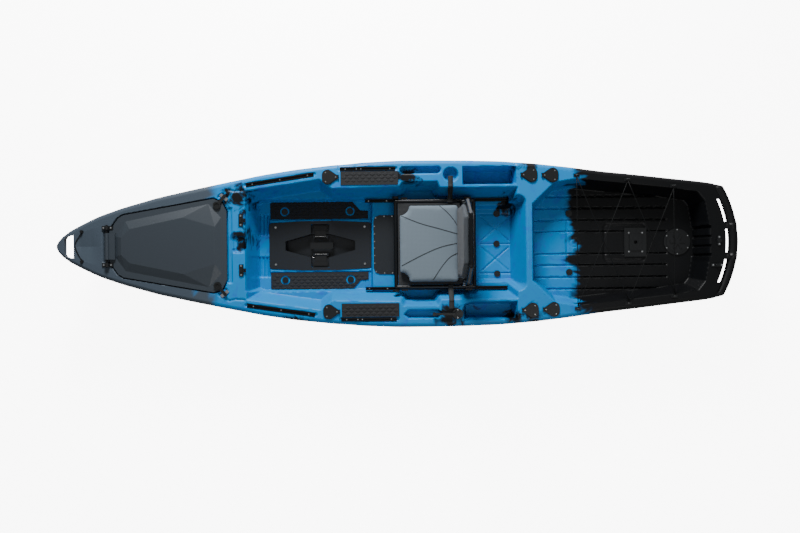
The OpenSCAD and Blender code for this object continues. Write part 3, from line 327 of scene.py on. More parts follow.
# Half-beam along the hull: station and width as shares of the half length and half beam.
PLAN = [
    (-1, 0.6), (-0.957, 0.66), (-0.93, 0.69), (-0.9, 0.71), (-0.8, 0.757), (-0.7, 0.805),
    (-0.6, 0.848), (-0.5, 0.905), (-0.4, 0.951), (-0.3, 0.982), (-0.2, 0.995), (-0.1, 1), (0, 1),
    (0.1, 0.982), (0.2, 0.949), (0.3, 0.904), (0.4, 0.842), (0.5, 0.76), (0.6, 0.673), (0.7, 0.58),
    (0.8, 0.461), (0.88, 0.345), (0.93, 0.252), (0.96, 0.192), (0.985, 0.122), (0.996, 0.075), (1, 0.03),
]
BILGE = [(1, 0.9), (1, 0.62), (0.975, 0.32), (0.9, 0.13), (0.72, 0.035), (0.34, 0), (0, 0)]
STERN_X, STERN_R = -1223.0, 607.0
ROLL = 24.0
BOW_PULL_X, BOW_PULL = 1560.0, 0.11
BOW_RISE_X, BOW_PITCH = 850.0, 3.43
BENCH_Z, FOOTWELL_Z, SEAT_WELL_Z, TANK_Z = 205.0, 150.0, 165.0, 200.0
SHEER_Z = 304
LID = mirrored([(1530, 80), (1484, 148), (1457, 165), (985, 250), (940, 232), (916, 183)])


def pulled(x):
    """Draws the bow in a little, so that its tip ends short of the CAD hull's."""
    return x - np.maximum(0, x - BOW_PULL_X) * BOW_PULL


def half_beam(x):
    xs = np.array([p[0] for p in PLAN]) * HALF_LEN
    ys = np.array([p[1] for p in PLAN]) * BEAM
    smooth = sum(np.interp(x + s, xs, ys) for s in (-30, -15, 0, 15, 30)) / 5
    raw = np.interp(x, xs, ys)
    share = np.clip((HALF_LEN - 120 - np.abs(x + 20)) / 60, 0, 1)
    arc = np.sqrt(np.clip(STERN_R ** 2 - (x - STERN_X) ** 2, 1, None))
    return np.where(x < -1700, np.minimum(raw, arc), smooth * share + raw * (1 - share))


def deck_z(x):
    """Height of the plain deck, which rises toward the bow."""
    return DECK + np.maximum(0, x - BOW_RISE_X) * math.tan(math.radians(BOW_PITCH))


def keel_z(x):
    """Height of the keel line, turned up at both ends."""
    f = x / HALF_LEN
    return 210.8 * (np.maximum(0, f - 0.55) / 0.45) ** 2.2 + 110 * (np.maximum(0, -f - 0.6) / 0.36) ** 2


def inside(outline, x, y):
    """Distance in mm from the outline's edge, positive inside."""
    far = np.full(x.shape, 1e9)
    within = np.zeros(x.shape, bool)
    n = len(outline)
    for i in range(n):
        (ax, ay), (bx, by) = outline[i], outline[(i + 1) % n]
        ex, ey = bx - ax, by - ay
        t = np.clip(((x - ax) * ex + (y - ay) * ey) / (ex * ex + ey * ey), 0, 1)
        far = np.minimum(far, np.hypot(x - ax - t * ex, y - ay - t * ey))
        if ay != by:
            within ^= ((ay > y) != (by > y)) & (x < ex * (y - ay) / ey + ax)
    return np.where(within, far, -far)


def line_far(points, x, y):
    """Distance in mm from an open line."""
    far = np.full(x.shape, 1e9)
    for (ax, ay), (bx, by) in zip(points, points[1:]):
        ex, ey = bx - ax, by - ay
        t = np.clip(((x - ax) * ex + (y - ay) * ey) / (ex * ex + ey * ey), 0, 1)
        far = np.minimum(far, np.hypot(x - ax - t * ex, y - ay - t * ey))
    return far


def soft_min(a, b, k):
    h = np.clip(0.5 + 0.5 * (b - a) / k, 0, 1)
    return b * (1 - h) + a * h - k * h * (1 - h)


def soft_max(a, b, k):
    return -soft_min(-a, -b, k)


def box(x0, x1, y0, y1, cut=14):
    return [(x0 + cut, y0), (x1 - cut, y0), (x1, y0 + cut), (x1, y1 - cut), (x1 - cut, y1), (x0 + cut, y1),
            (x0, y1 - cut), (x0, y0 + cut)]


def sink(z, edge, floor, run, top, lip=10.0, foot=10.0):
    """Lowers z inside an edge distance to floor, over a wall of that run, with a rounded lip and foot."""
    wall = top - edge * (top - floor) / run
    return soft_min(z, soft_max(floor, wall, foot), lip)


def deck_shape(x, y):
    """Height of the deck and everything moulded into it, in mm, at x, y in mm."""
    top = deck_z(x)
    z = top.copy()
    ay = np.abs(y)
    cockpit = mirrored([(812, 292), (418, 350), (354, 300), (-10, 308), (-30, 335), (-215, 335), (-232, 300),
                        (-645, 300)])
    z = sink(z, inside(cockpit, x, y), BENCH_Z, 42, top, 12, 12)
    footwell = mirrored([(792, 238), (760, 256), (140, 256)])
    z = sink(z, inside(footwell, x, y), FOOTWELL_Z, 10, BENCH_Z, 8, 8)
    notch = np.clip(1 - np.abs(((812 - x) % 21) - 10.5) / 10.5, 0, 1)
    tread = inside(box(716, 806, 58, 178, 4), x, ay)
    z = z - np.where(tread > 0, 13 * notch * np.clip(tread / 6, 0, 1), 0)
    z = sink(z, inside(mirrored([(-26, 212), (-645, 212)]), x, y), SEAT_WELL_Z, 14, BENCH_Z, 8, 8)
    z = np.where(inside(mirrored([(720, 146), (150, 146)]), x, y) > 0,
                 soft_max(z, 157 - np.clip(133 - ay, 0, 8), 3), z)
    tank = mirrored([(-723, 205), (-845, 322), (-957, 340), (-1457, 287), (-1612, 264), (-1650, 215),
                     (-1668, 110)])
    ridge = np.where(ay < 84, 7 * (np.mod(y + 30, 50) < 14) + 7, 0) * np.clip((-1600 - x) / 8, 0, 1)
    z = sink(z, inside(tank, x, y) + ridge, TANK_Z, 34, top, 8, 8)
    for track in (62, 125, 192, 257):
        run = inside(box(-1500, -738, track - 5, track + 5, 4), x, ay)
        z = z - 1.6 * np.clip(run + 1, 0, 5) * (np.abs(z - TANK_Z) < 12)
    z = z - np.clip(7 - np.abs(x + 941), 0, 5) * (ay < 128) * (np.abs(z - TANK_Z) < 3)
    z = z - np.clip(5 - np.abs(np.hypot(x + 983, y) - 24), 0, 3) * (x < -700)
    plate = inside(box(-1375, -1150, -100, 100, 10), x, y)
    z = z - 3 * np.clip(6 - np.abs(plate), 0, 1) * (np.abs(z - TANK_Z) < 12)
    for s, slant in ((1, 40), (-1, 0)):
        pocket = [(-638, 314), (-352 - slant, 314), (-352, 330), (-352, 412), (-640, 412)]
        z = sink(z, inside([(px, s * py) for px, py in pocket], x, y), 230, 16, top)
    z = sink(z, inside(box(-236, -14, -416, -374), x, y), 308, 7, top, 6, 6)
    z = sink(z, inside(box(-236, -32, 355, 404, 22), x, y), 300, 9, top, 6, 6)
    z = sink(z, 40 - np.hypot(x + 288, y + 369), 300, 9, top, 6, 6)
    z = sink(z, inside(LID, x, y) + 7, deck_z(x) - 42, 5, top, 4, 4)
    z = sink(z, inside(box(1500, 1566, -88, 88, 6), x, y), deck_z(x) - 12, 6, top, 4, 4)
    z = sink(z, 29 - np.hypot(x - 938, ay - 252), deck_z(x) - 8, 6, top, 4, 4)
    z = sink(z, inside(box(818, 889, -50, 42, 10), x, y), DECK - 14, 10, top, 5, 5)
    z = sink(z, inside(box(886, 912, -205, 205, 4), x, y), DECK - 6, 5, top, 4, 4)
    z = sink(z, 22 - np.maximum(np.abs(x - 845) * 0.75, np.abs(ay - 134) * 0.48), DECK, 6, top, 3, 3)
    crease = line_far([(955, 262), (907, 298), (875, 290), (826, 294)], x, ay)
    z = z - 5 * np.exp(-(crease / 5) ** 2)
    fore = line_far([(811, 323), (448, 377)], x, ay)
    z = sink(z, 12 - fore, DECK - 7.5, 3, top, 2, 2)
    z = sink(z, 12 - line_far([(9, 404), (307, 404)], x, ay), DECK - 7.5, 3, top, 2, 2)
    bay = inside(box(380, 494, -127, 127, 4), x, y)
    z = sink(z, bay, 118, 8, FOOTWELL_Z, 4, 4)
    for mark in ([(-455, 0), (-640, 0)], [(-455, 165), (-640, 165)], [(-470, 20), (-620, 150)],
                 [(-470, 150), (-620, 20)]):
        z = z - 1.5 * np.clip(5 - line_far(mark, x, ay), 0, 3) * (np.abs(z - SEAT_WELL_Z) < 6)
    bolts = np.minimum(np.hypot(x - 686, ay - 104), np.hypot(x - 186, ay - 104))
    z = np.where(bolts < 22, np.minimum(z, FOOTWELL_Z), z)
    bow = np.clip((x - 1570) / 60, 0, 1) * np.clip((1735 - x) / 40, 0, 1)
    z = z - 9 * bow * np.clip(1 - ay / (0.62 * half_beam(x) + 1), 0, 1)
    reach = np.hypot(x - STERN_X, y)
    band = np.clip(np.abs(reach - 587) / 20, 0, 1) ** 2
    z = np.where((x < -1700) & (reach > 560), z - 9 * band, z)
    z = z + 6 * np.exp(-((ay - 82) / 8) ** 2) * np.clip((-1762 - x) / 8, 0, 1)
    return z


def side_line(count):
    """Shares of half-beam and depth round the side and bottom, evenly sampled with a smooth curve."""
    pts = np.array([BILGE[0]] + BILGE + [(-0.34, 0)], float)
    out = []
    for i in range(1, len(pts) - 2):
        p0, p1, p2, p3 = pts[i - 1:i + 3]
        for t in np.linspace(0, 1, count, endpoint=False):
            out.append(0.5 * (2 * p1 + (p2 - p0) * t + (2 * p0 - 5 * p1 + 4 * p2 - p3) * t * t
                              + (3 * p1 - p0 - 3 * p2 + p3) * t ** 3))
    return np.array(out + [(0, 0)])


def hull_grid(step):
    """Rows of points round the hull, from the keel up starboard, over the deck and down port."""
    rows = int(2 * HALF_LEN / step)
    t = np.linspace(-1, 1, rows)
    x = HALF_LEN * np.sign(t) * (1 - (1 - np.abs(t)) ** 1.08)
    x = np.clip(x, -HALF_LEN + 0.6, HALF_LEN - 0.2)
    hb = half_beam(x)
    deck_half = np.maximum(hb - ROLL, hb * 0.45)
    v = np.linspace(-1, 1, int(2 * BEAM / step))
    dx, dy = np.meshgrid(x, v, indexing="ij")
    dy = dy * deck_half[:, None]
    dz = deck_shape(dx, dy)
    top = deck_z(x)
    angle = np.radians([22, 45, 67, 90])
    roll_y = deck_half[:, None] + (hb - deck_half)[:, None] * np.sin(angle)
    roll_z = dz[:, -1:] - 26 * (1 - np.cos(angle))
    low = keel_z(x)
    side = side_line(4)[1:]
    side_y = hb[:, None] * side[:, 0]
    rim = roll_z[:, -1:]
    side_z = low[:, None] + (rim - low[:, None]) * side[:, 1] / 0.9
    port_y = np.hstack([roll_y, side_y[:, :-1]])
    port_z = np.hstack([roll_z, side_z[:, :-1]])
    y = np.hstack([-port_y[:, ::-1], dy, port_y])
    z = np.hstack([port_z[:, ::-1], dz, port_z])
    y = np.hstack([y, np.zeros((rows, 1))])
    z = np.hstack([z, low[:, None]])
    xx = np.repeat(pulled(x)[:, None], y.shape[1], axis=1)
    return np.stack([xx, y, z], axis=-1) * MM


def cutter(parts):
    verts, faces = [], []
    for outline, low, high in parts:
        v, f = prism(outline, low, high)
        faces += [tuple(i + len(verts) for i in face) for face in f]
        verts += v
    obj = new_object("cutter", verts, faces, None, smooth=False)
    outward(obj)
    return obj


def arc(radius, y0, y1, count=24):
    ys = np.linspace(y0, y1, count)
    return [(STERN_X - math.sqrt(radius ** 2 - y * y), y) for y in ys]


def make_hull(sizes):
    grid = hull_grid(sizes.grid * (1))
    rows, cols = grid.shape[:2]
    verts = grid.reshape(-1, 3)
    a = (np.arange(rows - 1)[:, None] * cols + np.arange(cols)[None, :]).ravel()
    b = (np.arange(rows - 1)[:, None] * cols + (np.arange(cols)[None, :] + 1) % cols).ravel()
    faces = np.stack([a, a + cols, b + cols, b], axis=1).tolist()
    faces.append(list(range(cols)))
    faces.append(list(reversed(range((rows - 1) * cols, rows * cols))))
    hull = new_object("hull_skin", verts, faces, "hull")
    outward(hull)
    slots = []
    for y0, y1 in ((-63, 63), (-225, -101), (101, 225)):
        slots.append((arc(565, y0, y1) + list(reversed(arc(538, y0, y1))), 100, 600))
    under = arc(660, -232, 232) + list(reversed(arc(538, -232, 232)))
    slots.append((under, -50, SHEER_Z))
    for s in (-1, 1):
        corner = [(-1738, s * 231.5), (-1738, s * 400), (-1900, s * 400), (-1900, s * 231.5)]
        slots.append((corner, -50, SHEER_Z))
    slots.append((mirrored([(1714, 60), (1738, 60), (1753, 53), (1762, 40)]), 0, 600))
    plug = mirrored([(633, 28), (487, 68), (386, 68), (239, 28)])
    slots.append((plug, -50, 170))
    knife = cutter(slots)
    stem = [(1714, 366), (1870, 366), (1870, -50), (1656, -50)]
    verts = [(x * MM, y, z * MM) for y in (-0.25, 0.25) for x, z in stem]
    rake = new_object("stem", verts, [(0, 1, 2, 3), (7, 6, 5, 4)] + [(i, i + 4, (i + 1) % 4 + 4, (i + 1) % 4)
                                                                   for i in range(4)], None, smooth=False)
    outward(rake)
    cut = hull.modifiers.new("cut", "BOOLEAN")
    cut.object, cut.operation, cut.solver, cut.use_self = knife, "DIFFERENCE", "EXACT", True
    hull = baked(hull, "hull_skin")
    under = hull.modifiers.new("stem", "BOOLEAN")
    under.object, under.operation, under.solver = rake, "DIFFERENCE", "EXACT"
    hull = baked(hull, "hull_skin")
    bpy.data.objects.remove(knife)
    bpy.data.objects.remove(rake)
    return split_hull(hull)


def split_hull(hull):
    """Two meshes of the hull, parted at midships, each shaded smooth from its own faces."""
    mesh = hull.data
    mesh.shade_smooth()
    pieces = []
    for name, sign in (("hull_fore", 1), ("hull_aft", -1)):
        half = bpy.data.objects.new(name, mesh.copy())
        bpy.context.scene.collection.objects.link(half)
        work = bmesh.new()
        work.from_mesh(half.data)
        lost = [f for f in work.faces if sign * (f.calc_center_median().x - 0.001) < 0]
        bmesh.ops.delete(work, geom=lost, context="FACES")
        for edge in work.edges:
            edge.smooth = len(edge.link_faces) < 2 or edge.calc_face_angle() < math.radians(50)
        work.to_mesh(half.data)
        work.free()
        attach(half, "hull_body")
        pieces.append(half)
    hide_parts("hull")
    bpy.data.objects.remove(hull)
    return pieces


# ---- CAD pieces with a finish --------------------------------------------------------------------

FINISHES = {
    "slate": ["bow_hatch_lid"],
    "console": ["console_panel", "drive_pod", "pod_plug"],
    "anodised": ["gear_tracks_fore", "gear_tracks_mid", "seat_rails", "seat_frame", "back_frame", "bow_hinge_rod"],
    "steel": ["hatch_keepers", "track_bolts", "rod_holder_screws", "drive_pod_bolts", "console_screws",
              "rail_screws", "back_pins", "deck_screws"],
    "rubber": ["bow_hatch_seal", "drive_pod_seal"],
    "foam": ["side_pads", "foot_pads"],
    "mesh": ["seat_mesh", "back_mesh"],
}
REPLACED = ["hull", "bow_cord", "shock_cord", "seat_cushion", "back_pad", "seat_straps", "seat_mesh", "back_mesh"]


def finish_nodes(sizes):
    """Gives each shown CAD node its material and a small rounded edge."""
    chosen = {name: key for key, names in FINISHES.items() for name in names}
    for name, obj in NODES.items():
        if name in REPLACED:
            continue
        obj.data.materials.clear()
        obj.data.materials.append(MATERIALS[chosen.get(name, "trim")])
        edge = obj.modifiers.new("edge", "BEVEL")
        edge.width = sizes.edge * (5 if name == "bow_hatch_lid" else 1)
        edge.segments = 2
        edge.limit_method = "ANGLE"
        edge.angle_limit = math.radians(38 if name != "bow_hatch_lid" else 12)


# ---- moulded studs on the pads -------------------------------------------------------------------

def stud_tree():
    """Geometry nodes: staggered flat diamonds wherever the pad below has a flat top."""
    tree = bpy.data.node_groups.new("pad_studs", "GeometryNodeTree")
    sockets = [("Pad", "NodeSocketGeometry"), ("Pitch Along", "NodeSocketFloat"),
               ("Pitch Across", "NodeSocketFloat"), ("Stud Size", "NodeSocketFloat"),
               ("Stud Height", "NodeSocketFloat"), ("Size Spread", "NodeSocketFloat"),
               ("Seed", "NodeSocketInt"), ("Finish", "NodeSocketMaterial")]
    for label, kind in sockets:
        tree.interface.new_socket(label, in_out="INPUT", socket_type=kind)
    tree.interface.new_socket("Studs", in_out="OUTPUT", socket_type="NodeSocketGeometry")
    given = tree.nodes.new("NodeGroupInput").outputs
    bound = tree.nodes.new("GeometryNodeBoundBox")
    tree.links.new(given["Pad"], bound.inputs[0])
    low, high = bound.outputs["Min"], bound.outputs["Max"]
    size = node(tree, "ShaderNodeVectorMath", {0: high, 1: low}, operation="SUBTRACT")
    middle = node(tree, "ShaderNodeVectorMath", {0: node(tree, "ShaderNodeVectorMath", {0: high, 1: low},
                                                         operation="ADD"), 3: 0.5}, operation="SCALE")
    sides = tree.nodes.new("ShaderNodeSeparateXYZ")
    tree.links.new(size, sides.inputs[0])
    counts = [maths(tree, "ADD", maths(tree, "DIVIDE", sides.outputs[i], given[pitch]), 2.0)
              for i, pitch in enumerate(("Pitch Along", "Pitch Across"))]
    spans = [maths(tree, "MULTIPLY", maths(tree, "SUBTRACT", maths(tree, "FLOOR", count), 1.0), given[pitch])
             for count, pitch in zip(counts, ("Pitch Along", "Pitch Across"))]
    grid = node(tree, "GeometryNodeMeshGrid", {0: spans[0], 1: spans[1], 2: counts[0], 3: counts[1]})
    place = tree.nodes.new("GeometryNodeInputPosition").outputs[0]
    split = tree.nodes.new("ShaderNodeSeparateXYZ")
    tree.links.new(place, split.inputs[0])
    row = maths(tree, "ROUND", maths(tree, "DIVIDE", maths(tree, "ADD", split.outputs[1], maths(
        tree, "MULTIPLY", spans[1], 0.5)), given["Pitch Across"]))
    odd = maths(tree, "MULTIPLY", maths(tree, "MODULO", row, 2.0),
                maths(tree, "MULTIPLY", given["Pitch Along"], 0.5))
    stagger = node(tree, "ShaderNodeCombineXYZ", {0: odd, 2: 0.5})
    over = node(tree, "ShaderNodeVectorMath", {0: stagger, 1: middle}, operation="ADD")
    laid = node(tree, "GeometryNodeSetPosition", {"Geometry": grid, "Offset": over})
    keep, landing = None, None
    for dx, dy in ((0, 0), (0.6, 0), (-0.6, 0), (0, 0.4), (0, -0.4)):
        aside = node(tree, "ShaderNodeVectorMath", {0: (dx, dy, 0.0), 3: given["Stud Size"]}, operation="SCALE")
        start = node(tree, "ShaderNodeVectorMath", {0: place, 1: aside}, operation="ADD")
        ray = tree.nodes.new("GeometryNodeRaycast")
        tree.links.new(given["Pad"], ray.inputs["Target Geometry"])
        tree.links.new(start, ray.inputs["Source Position"])
        ray.inputs["Ray Direction"].default_value = (0, 0, -1)
        ray.inputs["Ray Length"].default_value = 2.0
        upward = node(tree, "ShaderNodeSeparateXYZ", {0: ray.outputs["Hit Normal"]}, out=2)
        good = maths(tree, "MULTIPLY", ray.outputs["Is Hit"], maths(tree, "GREATER_THAN", upward, 0.95))
        keep = good if keep is None else maths(tree, "MULTIPLY", keep, good)
        landing = landing or ray.outputs["Hit Position"]
    dropped = node(tree, "GeometryNodeDeleteGeometry", {
        "Geometry": node(tree, "GeometryNodeCaptureAttribute", {0: laid}), "Selection": maths(
            tree, "LESS_THAN", keep, 0.5)})
    placed = node(tree, "GeometryNodeSetPosition", {"Geometry": dropped, "Position": landing})
    crown = maths(tree, "MULTIPLY", given["Stud Size"], 0.72)
    stud = node(tree, "GeometryNodeMeshCone", {"Vertices": 4, "Radius Top": crown,
                                               "Radius Bottom": given["Stud Size"], "Depth": given["Stud Height"]})
    wide = node(tree, "FunctionNodeRandomValue", {2: maths(tree, "SUBTRACT", 1.0, given["Size Spread"]), 3: maths(
        tree, "ADD", 1.0, given["Size Spread"]), "Seed": given["Seed"]}, out=1)
    scale = node(tree, "ShaderNodeCombineXYZ", {0: wide, 1: maths(tree, "MULTIPLY", wide, 0.66), 2: 1.0})
    studs = node(tree, "GeometryNodeInstanceOnPoints", {"Points": placed, "Instance": stud, "Scale": scale})
    whole = node(tree, "GeometryNodeRealizeInstances", {0: studs})
    dressed = node(tree, "GeometryNodeSetMaterial", {"Geometry": whole, "Material": given["Finish"]})
    end = tree.nodes.new("NodeGroupOutput")
    tree.links.new(dressed, end.inputs[0])
    return tree


def make_studs(pitch):
    """Bakes the studs of the foot pads and the side pads into one mesh each."""
    tree = stud_tree()
    for seed, name in enumerate(("foot_pads", "side_pads")):
        pad = NODES[name]
        obj = bpy.data.objects.new(name + "_studs", pad.data.copy())
        obj.data.transform(pad.matrix_world)
        bpy.context.scene.collection.objects.link(obj)
        grow = obj.modifiers.new("studs", "NODES")
        grow.node_group = tree
        values = {"Pitch Along": pitch, "Pitch Across": pitch * 0.5, "Stud Size": pitch * 0.45,
                  "Stud Height": 0.0018, "Size Spread": 0.03, "Seed": seed, "Finish": MATERIALS["foam"]}
        for item in tree.interface.items_tree:
            if item.name in values:
                grow[item.identifier] = values[item.name]
        obj = baked(obj, name + "_studs")
        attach(obj, "hull_body")


# ---- seat ----------------------------------------------------------------------------------------

def stuffed(name, outline, low, high, axis, body, node_name, voxel, bulge, material):
    """A cushion blown up by the cloth solver from a prism, then capped to a small movement in mm."""
    verts, faces = prism(outline, low, high)
    if axis == "X":
        verts = [(z, x, y) for x, y, z in verts]
    obj = new_object(name, verts, faces, material, smooth=False)
    outward(obj)
    remesh = obj.modifiers.new("voxels", "REMESH")
    remesh.mode, remesh.voxel_size = "VOXEL", voxel * 1
    obj = baked(obj, name)
    rest = np.array([v.co for v in obj.data.vertices])
    cloth = obj.modifiers.new("cloth", "CLOTH")
    cloth.settings.use_pressure = True
    cloth.settings.uniform_pressure_force = 4.0
    cloth.settings.quality = 5
    cloth.settings.mass = 0.3
    cloth.settings.tension_stiffness = 12
    cloth.settings.compression_stiffness = 12
    cloth.settings.effector_weights.gravity = 0
    cloth.point_cache.frame_start, cloth.point_cache.frame_end = 1, 20
    for step in range(1, 21):
        bpy.context.scene.frame_set(step)
    obj = baked(obj, name)
    bpy.context.scene.frame_set(1)
    moved = np.array([v.co for v in obj.data.vertices])
    shift = moved - rest
    length = np.linalg.norm(shift, axis=1, keepdims=True)
    shift *= np.minimum(1, bulge * MM / np.maximum(length, 1e-9))
    for v, p in zip(obj.data.vertices, rest + shift):
        v.co = p
    soften = obj.modifiers.new("soften", "CORRECTIVE_SMOOTH")
    soften.factor, soften.iterations, soften.use_only_smooth = 0.5, 6, True
    obj = baked(obj, name)
    obj.data.materials.clear()
    obj.data.materials.append(MATERIALS[material])
    obj.data.shade_smooth()
    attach(obj, body)
    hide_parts(node_name)
    return obj


def curve_points(keys, count):
    """Evenly spaced parameters of a Catmull-Rom line through keys."""
    k = [Vector(p) for p in keys]
    k = [2 * k[0] - k[1]] + k + [2 * k[-1] - k[-2]]
    out = []
    for i in range(1, len(k) - 2):
        for j in range(count):
            t = j / count
            out.append(0.5 * (2 * k[i] + (k[i + 1] - k[i - 1]) * t
                              + (2 * k[i - 1] - 5 * k[i] + 4 * k[i + 1] - k[i + 2]) * t * t
                              + (3 * k[i] - k[i - 1] - 3 * k[i + 1] + k[i + 2]) * t ** 3))
    return out + [k[-2]]


def corner_arc(cx, cy, r, a0, a1, count=8):
    return [(cx + r * math.cos(math.radians(a0 + (a1 - a0) * i / count)),
             cy + r * math.sin(math.radians(a0 + (a1 - a0) * i / count))) for i in range(count + 1)]


def make_seat(sizes):
    outline = mirrored([(-6, 0)] + [(-6, 152)] + corner_arc(0, 216, 62, 268, 184) + [(-66, 211)]
                       + [(-320, 211), (-331, 200)])
    outline = [p for i, p in enumerate(outline) if p != outline[i - 1]]
    cushion = stuffed("seat_cushion_cover", outline, 286, 322, "Z", "seat_base", "seat_cushion",
                      sizes.voxel, 6, "fabric")
    back_outline = mirrored([(334, 190), (600, 190), (748, 118)])
    back_outline = [(y, x) for x, y in back_outline]
    # The backrest cover takes the seat cloth with painted shade.
    stuffed("back_pad_cover", back_outline, -341, -323, "X", "backrest", "back_pad", sizes.voxel, 5,
            "shaded_fabric")
    surface_lines(cushion)
    sling = weave_panel("seat_sling", [(-403, -222), (-2, -222), (-2, 222), (-403, 222)], 281, "mesh")
    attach(sling, "seat_base")
    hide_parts("seat_mesh")
    back_panel()
    for s in (-1, 1):
        strap(s)


def surface_lines(cushion):
    """Four stitched seams that fan out over the cushion's top."""
    graph = bpy.context.evaluated_depsgraph_get()
    seams = [
        [(-21, -150), (-120, -110), (-230, -78), (-325, -50)],
        [(-21, 118), (-130, 62), (-230, 20), (-325, -2)],
        [(-188, 196), (-240, 120), (-280, 75), (-325, 50)],
        [(-226, -204), (-265, -170), (-300, -130), (-325, -90)],
    ]
    for i, keys in enumerate(seams):
        line = []
        for p in curve_points([(x, y, 0) for x, y in keys], 14):
            hit = cushion.evaluated_get(graph).ray_cast(Vector((p.x * MM, p.y * MM, 0.5)), Vector((0, 0, -1)))
            if hit[0]:
                line.append((p.x, p.y, hit[1].z / MM + 0.2))
        tube(f"seam_{i}", line, 2.0, "thread", "seat_base", 6)


def weave_panel(name, corners, z, material, thick=1.6):
    verts, faces = prism(corners, z, z + thick)
    obj = new_object(name, verts, faces, material, smooth=False)
    outward(obj)
    return obj


def back_panel():
    """The mesh behind the backrest, sloping down and aft from its head."""
    half_high = 120
    verts = []
    for x, z, half in ((-397, 400, 170), (-366, 740, half_high)):
        for d in (0, 1.6):
            verts += [((x - d) * MM, -half * MM, z * MM), ((x - d) * MM, half * MM, z * MM)]
    faces = [(0, 1, 5, 4), (2, 6, 7, 3), (0, 4, 6, 2), (1, 3, 7, 5), (0, 2, 3, 1), (4, 5, 7, 6)]
    obj = new_object("back_net", verts, faces, "mesh", "backrest", smooth=False)
    outward(obj)
    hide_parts("back_mesh")


def strap(s):
    """Flat webbing from the seat's side tube up and over the cockpit edge."""
    end = 352 if s > 0 else 361
    keys = [(222, 282), (225, 289), (240, 290), (262, 302), (300, 341.5), (318, 342), (end - 14, 342),
            (end, 341.5)]
    line = curve_points([(0, y, z) for y, z in keys], 5)
    verts, faces = [], []
    for p in line:
        for x in (-299.5, -272.5):
            for d in (0, 1.8):
                verts.append((x * MM, s * p.y * MM, (p.z + d) * MM))
    n = len(line)
    for i in range(n - 1):
        a = 4 * i
        faces += [(a, a + 2, a + 6, a + 4), (a + 1, a + 5, a + 7, a + 3), (a, a + 4, a + 5, a + 1),
                  (a + 2, a + 3, a + 7, a + 6)]
    faces += [(0, 1, 3, 2), (4 * n - 4, 4 * n - 2, 4 * n - 1, 4 * n - 3)]
    obj = new_object("strap_port" if s > 0 else "strap_starboard", verts, faces, "webbing", "hull_body")
    outward(obj)
    if s > 0:
        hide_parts("seat_straps")


# ---- cords ---------------------------------------------------------------------------------------

def make_cords():
    """The limp bow cord between its eyes, and the stretched lacing over the tank well."""
    route = [(1668, -70), (1674, -64), (1686, -50), (1698, -30), (1705, -11), (1700, 14), (1690, 38), (1678, 60),
             (1669, 70)]
    points = curve_points([(x, y, deck_z(np.array(float(x))) + 3.0) for x, y in route], 6)
    bow = tube("bow_line", points, 2.0, "rubber", "hull_body")
    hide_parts("bow_cord")
    # Eye stations of the lacing, then each run from one eye to another and how far it rides above the rest.
    eyes = [(-962, 344), (-1234, 322), (-1480, 282)]
    runs = [((0, -1), (0, 1), 0), ((2, -1), (2, 1), 0), ((0, 1), (1, -1), 0), ((1, 1), (2, -1), 0),
            ((0, -1), (1, 1), 6.6), ((1, -1), (2, 1), 6.6)]
    for i, (a, b, up) in enumerate(runs):
        ends = [Vector((eyes[k][0], s * eyes[k][1], 347.7 + up)) for k, s in (a, b)]
        line = [ends[0].lerp(ends[1], t / 12) for t in range(13)]
        piece = tube(f"shock_run_{i}", line, 2.4, "rubber", "hull_body")
        if i == 0:
            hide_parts("shock_cord")


# ---- stage ---------------------------------------------------------------------------------------

def make_stage():
    """A pale floor and a plain backdrop that glow for the camera only, two soft lamps and the camera."""
    verts = [(-9, -7, 0), (9, -7, 0), (9, 7, 0), (-9, 7, 0)]
    floor = new_object("floor", verts, [(0, 1, 2, 3)], None, smooth=False)
    pale = new_material("pale floor", linear(hex_rgb("FFFFFF")), 0.9, Emission_Color=(1, 1, 1, 1))
    seen = node(pale.node_tree, "ShaderNodeLightPath")
    glow = maths(pale.node_tree, "MULTIPLY", seen, 8.0)
    pale.node_tree.links.new(glow, pale.node_tree.nodes["Principled BSDF"].inputs["Emission Strength"])
    floor.data.materials.append(pale)
    world = bpy.data.worlds.new("studio")
    bpy.context.scene.world = world
    world.use_nodes = True
    tree = world.node_tree
    tree.nodes["Background"].inputs[0].default_value = (1, 1, 1, 1)
    backdrop = maths(tree, "ADD", maths(tree, "MULTIPLY", node(tree, "ShaderNodeLightPath"), 8.0), 0.25)
    tree.links.new(backdrop, tree.nodes["Background"].inputs[1])
    for name, place, size, power in (("key", (0.5, -3.7, 2.5), 1.5, 430), ("fill", (-1.2, 2.6, 4.6), 3.0, 60)):
        lamp = bpy.data.lights.new(name, "AREA")
        lamp.shape, lamp.size, lamp.energy = "DISK", size, power
        obj = bpy.data.objects.new(name, lamp)
        obj.location = place
        obj.rotation_euler = (Vector((0, 0, 0.3)) - Vector(place)).to_track_quat("-Z", "Y").to_euler()
        bpy.context.scene.collection.objects.link(obj)
    data = bpy.data.cameras.new("camera")
    data.sensor_width = 36
    data.lens = 31.05
    camera = bpy.data.objects.new("camera", data)
    camera.location = (-0.011, 0.122, 4.04)
    camera.rotation_euler = (0, 0, math.radians(179.41))
    bpy.context.scene.collection.objects.link(camera)
    bpy.context.scene.camera = camera


# ---- add-on --------------------------------------------------------------------------------------

class BOAT_OT_materials(bpy.types.Operator):
    """Make the finishes"""
    bl_idname = "boat.materials"
    bl_label = "Finishes"

    def execute(self, context):
        MATERIALS.update(make_materials(context.scene.boat_colours))
        return {"FINISHED"}


class BOAT_OT_hull(bpy.types.Operator):
    """Build the moulded hull"""
    bl_idname = "boat.hull"
    bl_label = "Hull"

    def execute(self, context):
        make_hull(context.scene.boat_sizes)
        return {"FINISHED"}


